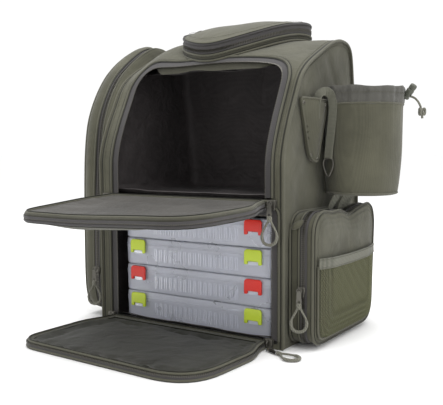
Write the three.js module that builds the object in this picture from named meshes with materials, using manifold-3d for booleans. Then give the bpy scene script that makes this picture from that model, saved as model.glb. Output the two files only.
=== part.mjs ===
// Tackle backpack: a soft framed body with two front doors, four tackle boxes in the lower bay, zipped pockets on
// the left, right and top, a drawstring bottle bag, a plier sheath and a padded carrying harness on the back.
// Millimetres. +X is the viewer's right from the front, -Y is the front, +Z is up.
// The origin is the centre of the body's base on the floor.
import * as THREE from "three";
import { mergeVertices } from "three/addons/utils/BufferGeometryUtils.js";
import Module from "manifold-3d";

const wasm = await Module();
wasm.setup();

// Body
const bodyHalfWidth = 168;
const sideThickness = 6;
const panelThickness = 5;
const frontY = -120;
const rearY = 134;
const gap = 0.3;
const innerHalfWidth = bodyHalfWidth - sideThickness - gap;

// Outline of the body seen from the side, as (Y, Z), in three runs that meet at two seams
const frontRun = [[frontY, 0], [frontY, 120], [frontY, 240], [-118, 266], [-112, 292], [-98, 328], [-82, 362],
  [-71, 388], [-62, 407], [-50, 419], [-30, 430]];
const topRun = [[-30, 430], [-4, 441], [30, 450], [60, 454], [86, 451], [104, 436]];
const backRun = [[104, 436], [110, 385], [122, 290], [rearY, 193], [rearY, 0]];

// Front openings
const openingHalfWidth = 144;
const upperOpening = { low: 208, high: 411, radius: 38, lowRadius: 6 };
const lowerOpening = { low: 8, high: 197, radius: 8, lowRadius: 1 };

// Doors
const doorHalfWidth = 156;
const doorHingeHalfWidth = 141;
const doorReach = 184;
const doorThickness = 10;
const lowerDoorThickness = 8;
const zipX = 154;
const upperHinge = { y: -121.5, z: 206 };
const lowerHinge = { y: -121, z: 10.4 };
const upperDroop = 5;
const flapStart = 60;
const bellyDepth = 24;

// Tackle boxes
const boxWidth = 275;
const boxDepth = 185;
const boxPitch = 43;
const boxHeight = boxPitch - 0.4;
const boxCentreX = 6;
const boxFrontY = -106;
const boxFloorZ = 9;
const boxWall = 2;
const trayHeight = 31.5;
const latchWidth = 26;
const latchHeight = 22;
const latchThickness = 4;
const latchInset = 30;

// Left compartment and right pocket
const compartmentFront = -112;
const compartmentWallEnd = 194;
const compartmentOuter = 221;
const pocket = { front: -100, rear: 107, low: 8, high: 188, radius: 22, wallEnd: 196, outer: 211 };
const clothWall = 3;

// Top pocket
const topPocket = { halfWidth: 101, front: -54, sideEnd: 45, rear: 100, wallHeight: 20, lidTop: 34 };

// Bottle bag
const bag = { x: 218.5, y: 34, flat: 168.8, low: 207, seam: 343, high: 370, lowRadius: 53.5, highRadius: 57.5 };

const finishes = {
  olive: { color: 0x5c5e4c, roughness: 0.9, metalness: 0 },
  oliveDark: { color: 0x44463a, roughness: 0.92, metalness: 0 },
  zipGrey: { color: 0x555457, roughness: 0.85, metalness: 0 },
  lining: { color: 0x1e1d1e, roughness: 0.95, metalness: 0 },
  mesh: { color: 0x4c4e42, roughness: 0.9, metalness: 0 },
  clearPlastic: { color: 0xa7adbb, roughness: 0.3, metalness: 0 },
  limeLatch: { color: 0xc8e048, roughness: 0.4, metalness: 0 },
  redLatch: { color: 0xe4402c, roughness: 0.4, metalness: 0 },
  metal: { color: 0x4b4b4d, roughness: 0.45, metalness: 0.8 },
  cord: { color: 0x77776a, roughness: 0.9, metalness: 0 },
  hardPlastic: { color: 0x3f413a, roughness: 0.55, metalness: 0 },
};

const object = new THREE.Group();

// ---------- helpers ----------

function addPart(name, geometry, finish, parent = object) {
  const mesh = new THREE.Mesh(geometry, new THREE.MeshStandardMaterial(finishes[finish]));
  mesh.name = name;
  parent.add(mesh);
  return mesh;
}

function toSolid(geometry) {
  const bare = geometry.clone();
  bare.deleteAttribute("normal");
  bare.deleteAttribute("uv");
  const merged = mergeVertices(bare, 1e-3);
  return new wasm.Manifold(
    new wasm.Mesh({
      numProp: 3,
      vertProperties: merged.attributes.position.array,
      triVerts: new Uint32Array(merged.index.array),
    }),
  );
}

function toGeometry(solid) {
  const made = solid.getMesh();
  const geometry = new THREE.BufferGeometry();
  geometry.setAttribute("position", new THREE.BufferAttribute(made.vertProperties, 3));
  geometry.setIndex(new THREE.BufferAttribute(made.triVerts, 1));
  return geometry;
}

function outline(points) {
  return new THREE.Shape(points.map(([a, b]) => new THREE.Vector2(a, b)));
}

// The low corners may have a radius of their own
function roundedRect(left, right, low, high, radius, lowRadius = radius) {
  const shape = new THREE.Shape();
  shape.moveTo(left + lowRadius, low);
  shape.lineTo(right - lowRadius, low);
  shape.absarc(right - lowRadius, low + lowRadius, lowRadius, -Math.PI / 2, 0);
  shape.lineTo(right, high - radius);
  shape.absarc(right - radius, high - radius, radius, 0, Math.PI / 2);
  shape.lineTo(left + radius, high);
  shape.absarc(left + radius, high - radius, radius, Math.PI / 2, Math.PI);
  shape.lineTo(left, low + lowRadius);
  shape.absarc(left + lowRadius, low + lowRadius, lowRadius, Math.PI, Math.PI * 1.5);
  return shape;
}

// A (Y, Z) shape extruded from one X to another
function alongX(shape, start, end) {
  const geometry = new THREE.ExtrudeGeometry(shape, { depth: end - start, bevelEnabled: false, curveSegments: 5 });
  const turn = new THREE.Matrix4().makeBasis(
    new THREE.Vector3(0, 1, 0),
    new THREE.Vector3(0, 0, 1),
    new THREE.Vector3(1, 0, 0),
  );
  return geometry.applyMatrix4(turn).translate(start, 0, 0);
}

// An (X, Z) shape extruded from one Y to another
function alongY(shape, start, end) {
  const geometry = new THREE.ExtrudeGeometry(shape, { depth: end - start, bevelEnabled: false, curveSegments: 5 });
  return geometry.rotateX(Math.PI / 2).translate(0, end, 0);
}

// An (X, Y) shape extruded from one Z to another
function alongZ(shape, start, end) {
  const geometry = new THREE.ExtrudeGeometry(shape, { depth: end - start, bevelEnabled: false, curveSegments: 5 });
  return geometry.translate(0, 0, start);
}

function block(x0, x1, y0, y1, z0, z1) {
  const geometry = new THREE.BoxGeometry(x1 - x0, y1 - y0, z1 - z0);
  return geometry.translate((x0 + x1) / 2, (y0 + y1) / 2, (z0 + z1) / 2);
}

function curveThrough(points) {
  return new THREE.CatmullRomCurve3(points.map(([x, y, z]) => new THREE.Vector3(x, y, z)));
}

function sweep(section, points, steps) {
  return new THREE.ExtrudeGeometry(section, { extrudePath: curveThrough(points), steps, curveSegments: 4 });
}

function circleSection(radius, sides) {
  const corners = [];
  for (let i = 0; i < sides; i += 1) {
    const angle = (i * 2 * Math.PI) / sides;
    corners.push([radius * Math.cos(angle), radius * Math.sin(angle)]);
  }
  return outline(corners);
}

// Points of an open path moved sideways, to its right for a positive distance
function offsetPath(points, distance) {
  return points.map((point, i) => {
    const before = points[Math.max(i - 1, 0)];
    const after = points[Math.min(i + 1, points.length - 1)];
    const first = new THREE.Vector2(point[0] - before[0], point[1] - before[1]).normalize();
    const second = new THREE.Vector2(after[0] - point[0], after[1] - point[1]).normalize();
    const along = new THREE.Vector2().addVectors(first, second).normalize();
    const reach = distance / Math.max(along.dot(i > 0 ? first : second), 0.3);
    return [point[0] + along.y * reach, point[1] - along.x * reach];
  });
}

// The stretch of wall between an outer and an inner path, from one corner to another, short by a seam gap
function wallBetween(outer, inner, from, to) {
  const near = (path, i, step) => {
    const point = new THREE.Vector2(...path[i]);
    const next = new THREE.Vector2(...path[i + step]);
    const moved = point.clone().add(next.sub(point).setLength(gap / 2));
    return [moved.x, moved.y];
  };
  const trimmed = (path) => [near(path, from, 1), ...path.slice(from + 1, to), near(path, to, -1)];
  return outline([...trimmed(outer), ...trimmed(inner).reverse()]);
}

// A strip of even thickness along an open (Y, Z) path
function strip(points, thickness) {
  const smooth = new THREE.SplineCurve(points.map(([y, z]) => new THREE.Vector2(y, z))).getPoints(points.length * 3);
  const path = smooth.map((p) => [p.x, p.y]);
  return outline([...offsetPath(path, -thickness / 2), ...offsetPath(path, thickness / 2).reverse()]);
}

const profile = [...frontRun, ...topRun.slice(1), ...backRun.slice(1)];
const innerProfile = offsetPath(profile, panelThickness);
const frontSeam = frontRun.length - 1;
const rearSeam = frontSeam + topRun.length - 1;

// ---------- body panels ----------

function makeBody() {
  for (const [name, side] of [["left_side_panel", -1], ["right_side_panel", 1]]) {
    const inside = side * (bodyHalfWidth - sideThickness);
    const outside = side * bodyHalfWidth;
    addPart(name, alongX(outline(profile), Math.min(inside, outside), Math.max(inside, outside)), "olive");
  }
  const frontBand = toSolid(alongX(wallBetween(profile, innerProfile, 0, frontSeam), -innerHalfWidth, innerHalfWidth));
  const cut = ({ low, high, radius, lowRadius }) => {
    const shape = roundedRect(-openingHalfWidth, openingHalfWidth, low, high, radius, lowRadius);
    return toSolid(alongY(shape, frontY - 20, 0));
  };
  addPart("front_frame", toGeometry(frontBand.subtract(cut(upperOpening)).subtract(cut(lowerOpening))), "olive");
  const topBand = wallBetween(profile, innerProfile, frontSeam, rearSeam);
  addPart("top_panel", alongX(topBand, -innerHalfWidth, innerHalfWidth), "olive");
  const backBand = wallBetween(profile, innerProfile, rearSeam, profile.length - 1);
  addPart("back_panel", alongX(backBand, -innerHalfWidth, innerHalfWidth), "oliveDark");
  const shelfFront = frontY + panelThickness + gap;
  addPart(
    "bottom_panel",
    block(-innerHalfWidth, innerHalfWidth, shelfFront, rearY - panelThickness - gap, 0, panelThickness),
    "oliveDark",
  );
  addPart("compartment_divider", block(-innerHalfWidth, innerHalfWidth, shelfFront, 126, 199.5, 203.5), "lining");
}

// ---------- left compartment: a gusset wall and the cover that unzips from it ----------

const compartmentRun = [[-88, 4], [compartmentFront, 28], [compartmentFront, 120], [-111, 212], [-109, 262],
  [-106, 293], [-100, 324], [-89, 352], [-74, 379], [-55, 405], [-29, 429], [2, 449], [29, 461], [50, 465], [71, 465],
  [90, 458], [101, 440], [103, 385], [114, 290], [126, 193], [126, 24], [106, 4]];

// The wall's room stays inside the side of the body, so that the wall closes above it
function makeLeftCompartment() {
  const inner = offsetPath(compartmentRun, clothWall);
  inner[0][1] += clothWall;
  inner[inner.length - 1][1] += clothWall;
  const wallStart = bodyHalfWidth + gap;
  const solidWall = toSolid(alongX(outline(compartmentRun), -compartmentWallEnd, -wallStart));
  const wallHollow = toSolid(alongX(outline(inner), -compartmentWallEnd - 1, -wallStart + 1));
  const bodySide = toSolid(alongX(outline(profile), -compartmentWallEnd - 1, -wallStart + 1));
  const wall = solidWall.subtract(wallHollow.intersect(bodySide));
  addPart("left_compartment_wall", toGeometry(wall), "olive");
  const solidCover = toSolid(alongX(outline(compartmentRun), -compartmentOuter, -compartmentWallEnd - gap));
  const coverHollow = toSolid(alongX(outline(inner), -compartmentOuter + clothWall, -wallStart));
  addPart("left_compartment_cover", toGeometry(solidCover.subtract(coverHollow)), "olive");
}

// ---------- right pocket: a tub, its zipped cover and the mesh pouch on the cover ----------

function makeRightPocket() {
  const { front, rear, low, high, radius, wallEnd, outer } = pocket;
  const whole = roundedRect(front, rear, low, high, radius);
  const inside = roundedRect(front + clothWall, rear - clothWall, low + clothWall, high - clothWall, radius - clothWall);
  const tubStart = bodyHalfWidth + gap;
  const tub = toSolid(alongX(whole, tubStart, wallEnd));
  const tubHollow = toSolid(alongX(inside, tubStart + 2, wallEnd + 1));
  addPart("right_pocket_wall", toGeometry(tub.subtract(tubHollow)), "olive");
  const cover = toSolid(alongX(whole, wallEnd + gap, outer));
  const coverHollow = toSolid(alongX(inside, wallEnd - 1, outer - clothWall));
  addPart("right_pocket_cover", toGeometry(cover.subtract(coverHollow)), "olive");
  const pouchStart = outer + gap;
  const pouch = toSolid(alongX(roundedRect(front + 14, rear - 12, low + 6, 123, 12), pouchStart, pouchStart + 7));
  const pouchHollow = toSolid(
    alongX(roundedRect(front + 16, rear - 14, low + 8, 140, 10), pouchStart - 1, pouchStart + 5),
  );
  addPart("mesh_pouch", toGeometry(pouch.subtract(pouchHollow)), "mesh");
}

// ---------- top pocket: a D-shaped gusset wall and its lid ----------

function topPocketPlan(inset) {
  const half = topPocket.halfWidth - inset;
  const rear = topPocket.rear - inset;
  const corner = 15;
  const shape = new THREE.Shape();
  shape.absellipse(0, topPocket.sideEnd, half, topPocket.sideEnd - topPocket.front - inset, Math.PI, 2 * Math.PI);
  shape.lineTo(half, rear - corner);
  shape.absarc(half - corner, rear - corner, corner, 0, Math.PI / 2);
  shape.lineTo(corner - half, rear);
  shape.absarc(corner - half, rear - corner, corner, Math.PI / 2, Math.PI);
  return shape;
}

// The layer of space that lies between two heights above the top of the body
function layerAboveTop(low, high) {
  const surface = [...profile.slice(frontSeam - 2, rearSeam + 1), [108, 430]];
  const lower = surface.map(([y, z]) => [y, z + low]);
  const upper = surface.map(([y, z]) => [y, z + high]);
  return toSolid(alongX(outline([...upper, ...lower.reverse()]), -bodyHalfWidth, bodyHalfWidth));
}

function makeTopPocket() {
  const whole = toSolid(alongZ(topPocketPlan(0), 380, 520));
  const inside = toSolid(alongZ(topPocketPlan(clothWall), 370, 530));
  const wallLayer = layerAboveTop(gap, topPocket.wallHeight);
  const lidLayer = layerAboveTop(topPocket.wallHeight + gap, topPocket.lidTop);
  const lidHollow = layerAboveTop(0, topPocket.lidTop - 4);
  addPart("top_pocket_wall", toGeometry(whole.subtract(inside).intersect(wallLayer)), "olive");
  addPart("top_pocket_lid", toGeometry(whole.intersect(lidLayer).subtract(inside.intersect(lidHollow))), "olive");
}

// ---------- bottle bag, its collar, drawcord, cord lock and knot ----------

function lathe(points, x, y) {
  const geometry = new THREE.LatheGeometry(points.map(([r, z]) => new THREE.Vector2(r, z)), 28);
  return geometry.rotateX(Math.PI / 2).translate(x, y, 0);
}

const lockDirection = new THREE.Vector3(0.6, -0.1, 0.75).normalize();
const lockCentre = new THREE.Vector3(279.5, 62, 362.5);

// A cup with a floor, flat where it is sewn to the side of the body
function makeBag(low, high, lowRadius, highRadius, floor) {
  const { x, y, flat } = bag;
  const cup = lathe([[0, low], [lowRadius, low], [highRadius, high], [0, high]], x, y);
  const bottom = floor ? low + clothWall : low - 1;
  const innerLow = lowRadius - clothWall;
  const innerHigh = highRadius - clothWall;
  const room = lathe([[0, bottom], [innerLow, bottom], [innerHigh, high + 1], [0, high + 1]], x, y);
  const outside = toSolid(cup).intersect(toSolid(block(flat, 400, -200, 200, 0, 500)));
  const inside = toSolid(room).intersect(toSolid(block(flat + clothWall, 400, -200, 200, 0, 500)));
  return toGeometry(outside.subtract(inside));
}

function makeBottleBag() {
  const { low, seam, high, lowRadius, highRadius } = bag;
  addPart("bottle_bag", makeBag(low, seam, lowRadius, highRadius - 0.5, true), "olive");
  addPart("bottle_bag_collar", makeBag(seam + gap, high, highRadius, highRadius, false), "zipGrey");
  const route = [[271, 61, 353], [273.5, 61.5, 354.2], [276, 61.8, 355.3], [279, 62, 355.8], [283, 62, 354.8],
    [288.5, 62, 352], [293, 62, 346.5], [296, 62, 340.5]];
  const cordHole = toSolid(sweep(circleSection(2.1, 8), route, 30));
  const barrel = new THREE.LatheGeometry(
    [[0, -12], [4, -12], [5.2, -10.5], [5.2, 10], [4, 12], [0, 12]].map(([r, h]) => new THREE.Vector2(r, h)),
    14,
  );
  const turn = new THREE.Quaternion().setFromUnitVectors(new THREE.Vector3(0, 1, 0), lockDirection);
  barrel.applyQuaternion(turn).translate(...lockCentre.toArray());
  addPart("cord_lock", toGeometry(toSolid(barrel).subtract(cordHole)), "hardPlastic");
  addPart("drawcord", sweep(circleSection(1.6, 8), route, 30), "cord");
  const knot = new THREE.IcosahedronGeometry(6, 1).scale(0.95, 0.9, 1.3);
  addPart("drawcord_knot", knot.translate(297.8, 62, 331.8), "cord");
}

// ---------- plier sheath, the strap out of its mouth and the clip ring below ----------

// The strap leans outwards, clear of the bottle bag, once it is over the sheath's mouth
function leanStrap(geometry) {
  const spots = geometry.attributes.position;
  for (let i = 0; i < spots.count; i += 1) {
    const over = THREE.MathUtils.smoothstep(spots.getY(i), -32, -24);
    const height = THREE.MathUtils.clamp((spots.getZ(i) - 268) / 67, 0, 1);
    spots.setX(i, spots.getX(i) + over * (12 + 8 * height));
  }
  return geometry;
}

function makePlierSheath() {
  const start = bodyHalfWidth + gap;
  const pouch = toSolid(alongX(outline([[-78, 351], [-51, 264], [-28, 258], [-14, 349]]), start, start + 15));
  const hollow = toSolid(alongX(outline([[-75, 354], [-48, 267], [-30, 262], [-17, 354]]), start + 2.4, start + 12.6));
  addPart("plier_sheath", toGeometry(pouch.subtract(hollow)), "olive");
  const path = [[-38, 322], [-38, 346], [-34, 358], [-28, 361], [-22.5, 355], [-21.5, 335], [-21, 300], [-20, 268]];
  addPart("clip_strap", leanStrap(alongX(strip(path, 2), start + 2.9, start + 12.2)), "oliveDark");
  const ring = new THREE.TorusGeometry(9, 1.6, 6, 12).rotateX(Math.PI / 2);
  addPart("clip_ring", ring.scale(0.7, 1, 1.4).translate(188, -20, 252), "metal");
}

// ---------- harness on the back ----------

function makeHarness() {
  const padRoute = [[112.5, 365], [122, 290], [130, 225], [rearY, 188], [rearY, 150], [rearY, 50]];
  const padPath = offsetPath(padRoute, -7.6);
  addPart("back_padding", alongX(strip(padPath, 12), -118, 118), "oliveDark");
  for (const [name, side] of [["left", -1], ["right", 1]]) {
    const span = (centre, width) => [side * centre - width / 2, side * centre + width / 2];
    const strapPath = [[111.2, 392], [136, 390], [162, 362], [175, 300], [172, 230], [162, 180]];
    addPart("shoulder_strap_" + name, alongX(strip(strapPath, 12), ...span(66, 62)), "oliveDark");
    const webbing = [[160, 150], [157, 100], [153, 60], [147, 40], [137, 24]];
    addPart("strap_webbing_" + name, alongX(strip(webbing, 2), ...span(66, 25)), "zipGrey");
    addPart("ladder_lock_" + name, makeLadderLock(...span(66, 34)), "hardPlastic");
  }
  const handlePath = [[-44, 107.2, 425], [-40, 114, 425.5], [-26, 124, 426], [0, 128, 426], [26, 124, 426],
    [40, 114, 425.5], [44, 107.2, 425]];
  const section = outline([[-10, -2.5], [10, -2.5], [10, 2.5], [-10, 2.5]]);
  addPart("haul_handle", sweep(section, handlePath, 20), "oliveDark");
}

function makeLadderLock(x0, x1) {
  const frame = toSolid(block(x0, x1, -3, 3, -13, 13));
  const slot = toSolid(block(x0 + 4, x1 - 4, -8, 8, -9, -2));
  const upperSlot = toSolid(block(x0 + 4, x1 - 4, -8, 8, 2, 9));
  const geometry = toGeometry(frame.subtract(slot).subtract(upperSlot));
  return geometry.rotateX(-0.2).translate(0, 159.6, 165);
}

// ---------- doors ----------

// Plan of a door: narrow at its hinge, then full width, with round far corners, for one stretch of its reach
function doorPlan(from, to) {
  const shape = new THREE.Shape();
  shape.moveTo(-doorHingeHalfWidth, -1);
  shape.lineTo(-doorHingeHalfWidth, -22);
  shape.quadraticCurveTo(-doorHalfWidth, -34, -doorHalfWidth, -52);
  shape.lineTo(-doorHalfWidth, -doorReach + 30);
  shape.absarc(-doorHalfWidth + 30, -doorReach + 30, 30, Math.PI, Math.PI * 1.5);
  shape.lineTo(doorHalfWidth - 30, -doorReach);
  shape.absarc(doorHalfWidth - 30, -doorReach + 30, 30, Math.PI * 1.5, Math.PI * 2);
  shape.lineTo(doorHalfWidth, -52);
  shape.quadraticCurveTo(doorHalfWidth, -34, doorHingeHalfWidth, -22);
  shape.lineTo(doorHingeHalfWidth, -1);
  const slab = toSolid(alongZ(shape, -60, 0));
  return slab.intersect(toSolid(block(-200, 200, -to, -from, -80, 20)));
}

function makeUpperDoor() {
  const fold = new THREE.Group();
  fold.position.set(0, upperHinge.y, upperHinge.z);
  fold.rotation.x = THREE.MathUtils.degToRad(upperDroop);
  object.add(fold);
  const deepest = -doorThickness - bellyDepth;
  const shell = [[-1, 0], [-doorReach, 0], [-doorReach, -doorThickness], [-doorReach + 20, -doorThickness - 16],
    [-doorReach + 50, deepest], [-95, deepest + 2], [-20, -doorThickness - 3], [-1, -doorThickness]];
  const full = toSolid(alongX(outline(shell), -doorHalfWidth, doorHalfWidth));
  const rim = toSolid(block(-200, 200, -200, 0, -doorThickness, 20));
  const belly = toSolid(block(-doorHingeHalfWidth + 3, doorHingeHalfWidth - 3, -doorReach + 8, 0, -60, 20));
  const solid = full.intersect(rim.add(belly));
  addPart("upper_door", toGeometry(solid.intersect(doorPlan(1, flapStart))), "olive", fold);
  addPart("upper_door_flap", toGeometry(solid.intersect(doorPlan(flapStart + gap, doorReach))), "olive", fold);
}

function makeLowerDoor() {
  const panel = doorPlan(1, doorReach);
  const slab = toSolid(block(-200, 200, -200, 0, -lowerHinge.z, -lowerHinge.z + lowerDoorThickness));
  const geometry = toGeometry(panel.intersect(slab));
  addPart("lower_door", geometry.translate(0, lowerHinge.y, lowerHinge.z), "olive");
}

// ---------- tackle boxes ----------

function makeTackleBoxes() {
  const x0 = boxCentreX - boxWidth / 2;
  const x1 = boxCentreX + boxWidth / 2;
  const y0 = boxFrontY;
  const y1 = boxFrontY + boxDepth;
  for (let number = 1; number <= 4; number += 1) {
    const floor = boxFloorZ + (4 - number) * boxPitch;
    const lip = floor + trayHeight;
    const shell = toSolid(alongZ(roundedRect(x0, x1, y0, y1, 6), floor, lip));
    const divider = boxFrontY + boxDepth * 0.5;
    const bay = (near, far) =>
      toSolid(block(x0 + boxWall, x1 - boxWall, near, far, floor + boxWall, lip + 1));
    const front = bay(y0 + boxWall, divider - 1);
    const rear = bay(divider + 1, y1 - boxWall);
    addPart("box_tray_" + number, toGeometry(shell.subtract(front).subtract(rear)), "clearPlastic");
    const lid = toSolid(alongZ(roundedRect(x0, x1, y0, y1, 6), lip + gap, floor + boxHeight));
    const under = toSolid(block(x0 + boxWall, x1 - boxWall, y0 + boxWall, y1 - boxWall, lip, floor + boxHeight - boxWall));
    addPart("box_lid_" + number, toGeometry(lid.subtract(under)), "clearPlastic");
    const colour = number % 2 ? "redLatch" : "limeLatch";
    const top = floor + boxHeight - 2;
    for (const [side, centre] of [["left", x0 + latchInset], ["right", x1 - latchInset]]) {
      const face = boxFrontY - gap;
      const plate = toSolid(
        block(centre - latchWidth / 2, centre + latchWidth / 2, face - latchThickness, face, top - latchHeight, top),
      );
      const notch = toSolid(
        block(centre - latchWidth / 2 + 5, centre + latchWidth / 2 - 5, face - 6, face + 1, top - latchHeight - 1,
          top - latchHeight + 5),
      );
      addPart("box_latch_" + side + "_" + number, toGeometry(plate.subtract(notch)), colour);
    }
  }
}

// ---------- zip sliders and their cord pulls ----------

// A slider is a blunt wedge on the zip with a bail in front; facing turns it from -Y to another side
function makeSlider(name, place, turn) {
  const body = toSolid(block(-4.5, 4.5, -8, 0, -6, 6));
  const nose = toSolid(alongX(outline([[-8, 7], [-8, -7], [-3, -7], [-3, 7]]), -5.5, 5.5));
  const bail = toSolid(block(-1.2, 1.2, -10.5, -6, -1, 5));
  const slider = addPart(name, toGeometry(body.add(nose).add(bail)), "metal");
  slider.rotation.set(...turn, "ZYX");
  slider.position.set(...place);
}

// A pull is a metal tab with a cord loop through its end, hanging from the bail
function makePull(name, place, turn) {
  const tab = toSolid(block(-3, 3, -1, 1, -19, 0));
  const loop = toSolid(new THREE.TorusGeometry(11, 1.6, 6, 18).rotateX(Math.PI / 2).scale(1, 1, 1.75).translate(0, 0, -36));
  const pull = addPart(name, toGeometry(tab.add(loop)), "cord");
  pull.rotation.set(...turn, "ZYX");
  pull.position.set(...place);
}

function makeZips() {
  const upright = [0, 0, 0];
  const { degToRad } = THREE.MathUtils;
  makeSlider("upper_door_slider_right", [zipX, frontY - 0.8, 202], upright);
  makePull("upper_door_pull_right", [zipX, frontY - 13, 204], upright);
  makeSlider("upper_door_slider_left", [-zipX, frontY - 0.8, 202], upright);
  makeSlider("lower_door_slider_right", [zipX - 5, frontY - 0.8, 8], upright);
  makePull("lower_door_pull_right", [zipX + 1, frontY - 14, 1.9], [-Math.PI / 2, 0, degToRad(70)]);
  makeSlider("left_compartment_slider", [-compartmentWallEnd + 10, compartmentFront - gap, 78], upright);
  makePull("left_compartment_pull", [-compartmentWallEnd + 10, compartmentFront - 12.5, 80], upright);
  makeSlider("right_pocket_slider", [pocket.wallEnd - 7, pocket.front - gap, 82], upright);
  makePull("right_pocket_pull", [pocket.wallEnd - 7, pocket.front - 12.5, 84], upright);
  const side = -topPocket.halfWidth - gap;
  makeSlider("top_pocket_slider", [side, 56, 471], [0, 0, -Math.PI / 2]);
  makePull("top_pocket_pull", [side - 12.2, 56, 473.5], [0, degToRad(90), -Math.PI / 2]);
}

makeBody();
makeLeftCompartment();
makeRightPocket();
makeTopPocket();
makeBottleBag();
makePlierSheath();
makeHarness();
makeUpperDoor();
makeLowerDoor();
makeTackleBoxes();
makeZips();

export default object;
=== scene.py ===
# Tackle backpack: cloth, zips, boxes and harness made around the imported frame.
# Shapes are worked out in millimetres, and addPiece turns them into metres.
import math

import bmesh
import bpy
import numpy as np
from mathutils import Matrix, Vector, noise
from mathutils.geometry import delaunay_2d_cdt


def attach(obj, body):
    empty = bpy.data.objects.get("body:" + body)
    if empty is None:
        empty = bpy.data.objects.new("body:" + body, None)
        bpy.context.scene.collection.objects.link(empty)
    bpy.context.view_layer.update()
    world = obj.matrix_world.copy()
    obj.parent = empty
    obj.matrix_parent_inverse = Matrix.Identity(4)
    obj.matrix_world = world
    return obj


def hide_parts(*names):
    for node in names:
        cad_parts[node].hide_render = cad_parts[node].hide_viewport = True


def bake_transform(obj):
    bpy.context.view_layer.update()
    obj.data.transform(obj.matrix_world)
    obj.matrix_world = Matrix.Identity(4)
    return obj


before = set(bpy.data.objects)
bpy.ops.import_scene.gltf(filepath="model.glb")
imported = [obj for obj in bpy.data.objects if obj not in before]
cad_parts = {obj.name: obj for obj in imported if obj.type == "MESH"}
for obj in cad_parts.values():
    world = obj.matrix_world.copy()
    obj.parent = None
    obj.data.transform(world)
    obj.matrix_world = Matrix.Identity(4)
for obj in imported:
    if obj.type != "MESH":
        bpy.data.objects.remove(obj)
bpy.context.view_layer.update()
scene = bpy.context.scene
print("frame loaded:", len(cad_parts), "nodes")

cameraSetup = {"place": (0.6212, -0.9447, 0.2766), "azimuth": 33.9, "elevation": 4.3, "roll": -0.2, "lens": 56.07}


def addCamera():
    data = bpy.data.cameras.new("viewCamera")
    data.lens = cameraSetup["lens"]
    data.sensor_width = 36
    data.clip_start = 0.05
    data.clip_end = 60
    camera = bpy.data.objects.new("viewCamera", data)
    turn = Matrix.Rotation(math.radians(cameraSetup["azimuth"]), 4, "Z")
    tilt = Matrix.Rotation(math.radians(90 - cameraSetup["elevation"]), 4, "X")
    roll = Matrix.Rotation(math.radians(cameraSetup["roll"]), 4, "Z")
    camera.matrix_world = Matrix.Translation(cameraSetup["place"]) @ turn @ tilt @ roll
    scene.collection.objects.link(camera)
    scene.camera = camera


addCamera()


# Points, paths and outlines


def arr(points):
    return np.array(points, float)


def unit(vectors):
    return vectors / np.maximum(np.linalg.norm(vectors, axis=-1, keepdims=True), 1e-9)


def smoothStep(value, low=0.0, high=1.0):
    t = np.clip((value - low) / (high - low), 0, 1)
    return t * t * (3 - 2 * t)


# The same path with its points a set distance apart; extra columns, such as a direction, come along
def evenPath(points, spacing, closed=False, measured=3):
    path = arr(points)
    if closed:
        path = np.vstack([path, path[:1]])
    steps = np.linalg.norm(np.diff(path[:, :measured], axis=0), axis=1)
    along = np.concatenate([[0], np.cumsum(steps)])
    count = max(int(round(along[-1] / spacing)), 3)
    at = np.linspace(0, along[-1], count + 1)
    if closed:
        at = at[:-1]
    return np.column_stack([np.interp(at, along, column) for column in path.T])


# A curve near the points, made by splitting every span and then rounding
def finePath(points, steps=8, rounds=20, closed=False):
    path = arr(points)
    if closed:
        path = np.vstack([path, path[:1]])
    at = np.linspace(0, len(path) - 1, (len(path) - 1) * steps + 1)
    path = np.column_stack([np.interp(at, range(len(path)), column) for column in path.T])
    if closed:
        path = path[:-1]
    for _ in range(rounds):
        rounded = (np.roll(path, 1, 0) + path * 2 + np.roll(path, -1, 0)) / 4
        if not closed:
            rounded[0], rounded[-1] = path[0], path[-1]
        path = rounded
    return path


# A closed outline through corner points, each rounded by its own radius
def softOutline(corners, radii, spacing=6):
    corners = arr(corners)
    if np.isscalar(radii):
        radii = [radii] * len(corners)
    points = []
    for i, corner in enumerate(corners):
        before = unit(corners[i - 1] - corner)
        after = unit(corners[(i + 1) % len(corners)] - corner)
        start, end = corner + before * radii[i], corner + after * radii[i]
        for t in np.linspace(0, 1, 9):
            points.append(start * (1 - t) ** 2 + corner * 2 * t * (1 - t) + end * t * t)
    return evenPath(points, spacing, closed=True)


def outwardOf(outline, closed=True):
    if closed:
        along = unit(np.roll(outline, -1, 0) - np.roll(outline, 1, 0))
    else:
        along = unit(np.gradient(outline, axis=0))
    return np.column_stack([along[:, 1], -along[:, 0]])


def insideOutline(points, outline):
    x, y = points[:, :1], points[:, 1:2]
    x0, y0 = outline.T
    x1, y1 = np.roll(outline, -1, 0).T
    reach = (x1 - x0) * (y - y0) / np.where(y1 == y0, 1e-9, y1 - y0) + x0
    return (((y0 > y) != (y1 > y)) & (x < reach)).sum(1) % 2 == 1


def edgeDistance(points, outline, closed=True):
    start = outline if closed else outline[:-1]
    span = (np.roll(outline, -1, 0) if closed else outline[1:]) - start
    best = np.full(len(points), 1e9)
    for a, ab in zip(start, span):
        rel = points - a
        t = np.clip(rel @ ab / max(ab @ ab, 1e-9), 0, 1)
        best = np.minimum(best, np.linalg.norm(rel - t[:, None] * ab, axis=1))
    return best


# Smooth, repeatable unevenness, one value for each point
def unevenness(points, size, seed=0.0):
    points = arr(points)
    if points.shape[1] == 2:
        points = np.column_stack([points, np.zeros(len(points))])
    return arr([noise.noise(Vector(p) / size + Vector((seed, seed * 1.7, -seed))) for p in points])


# Shapes, each a pair: points and faces


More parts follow.
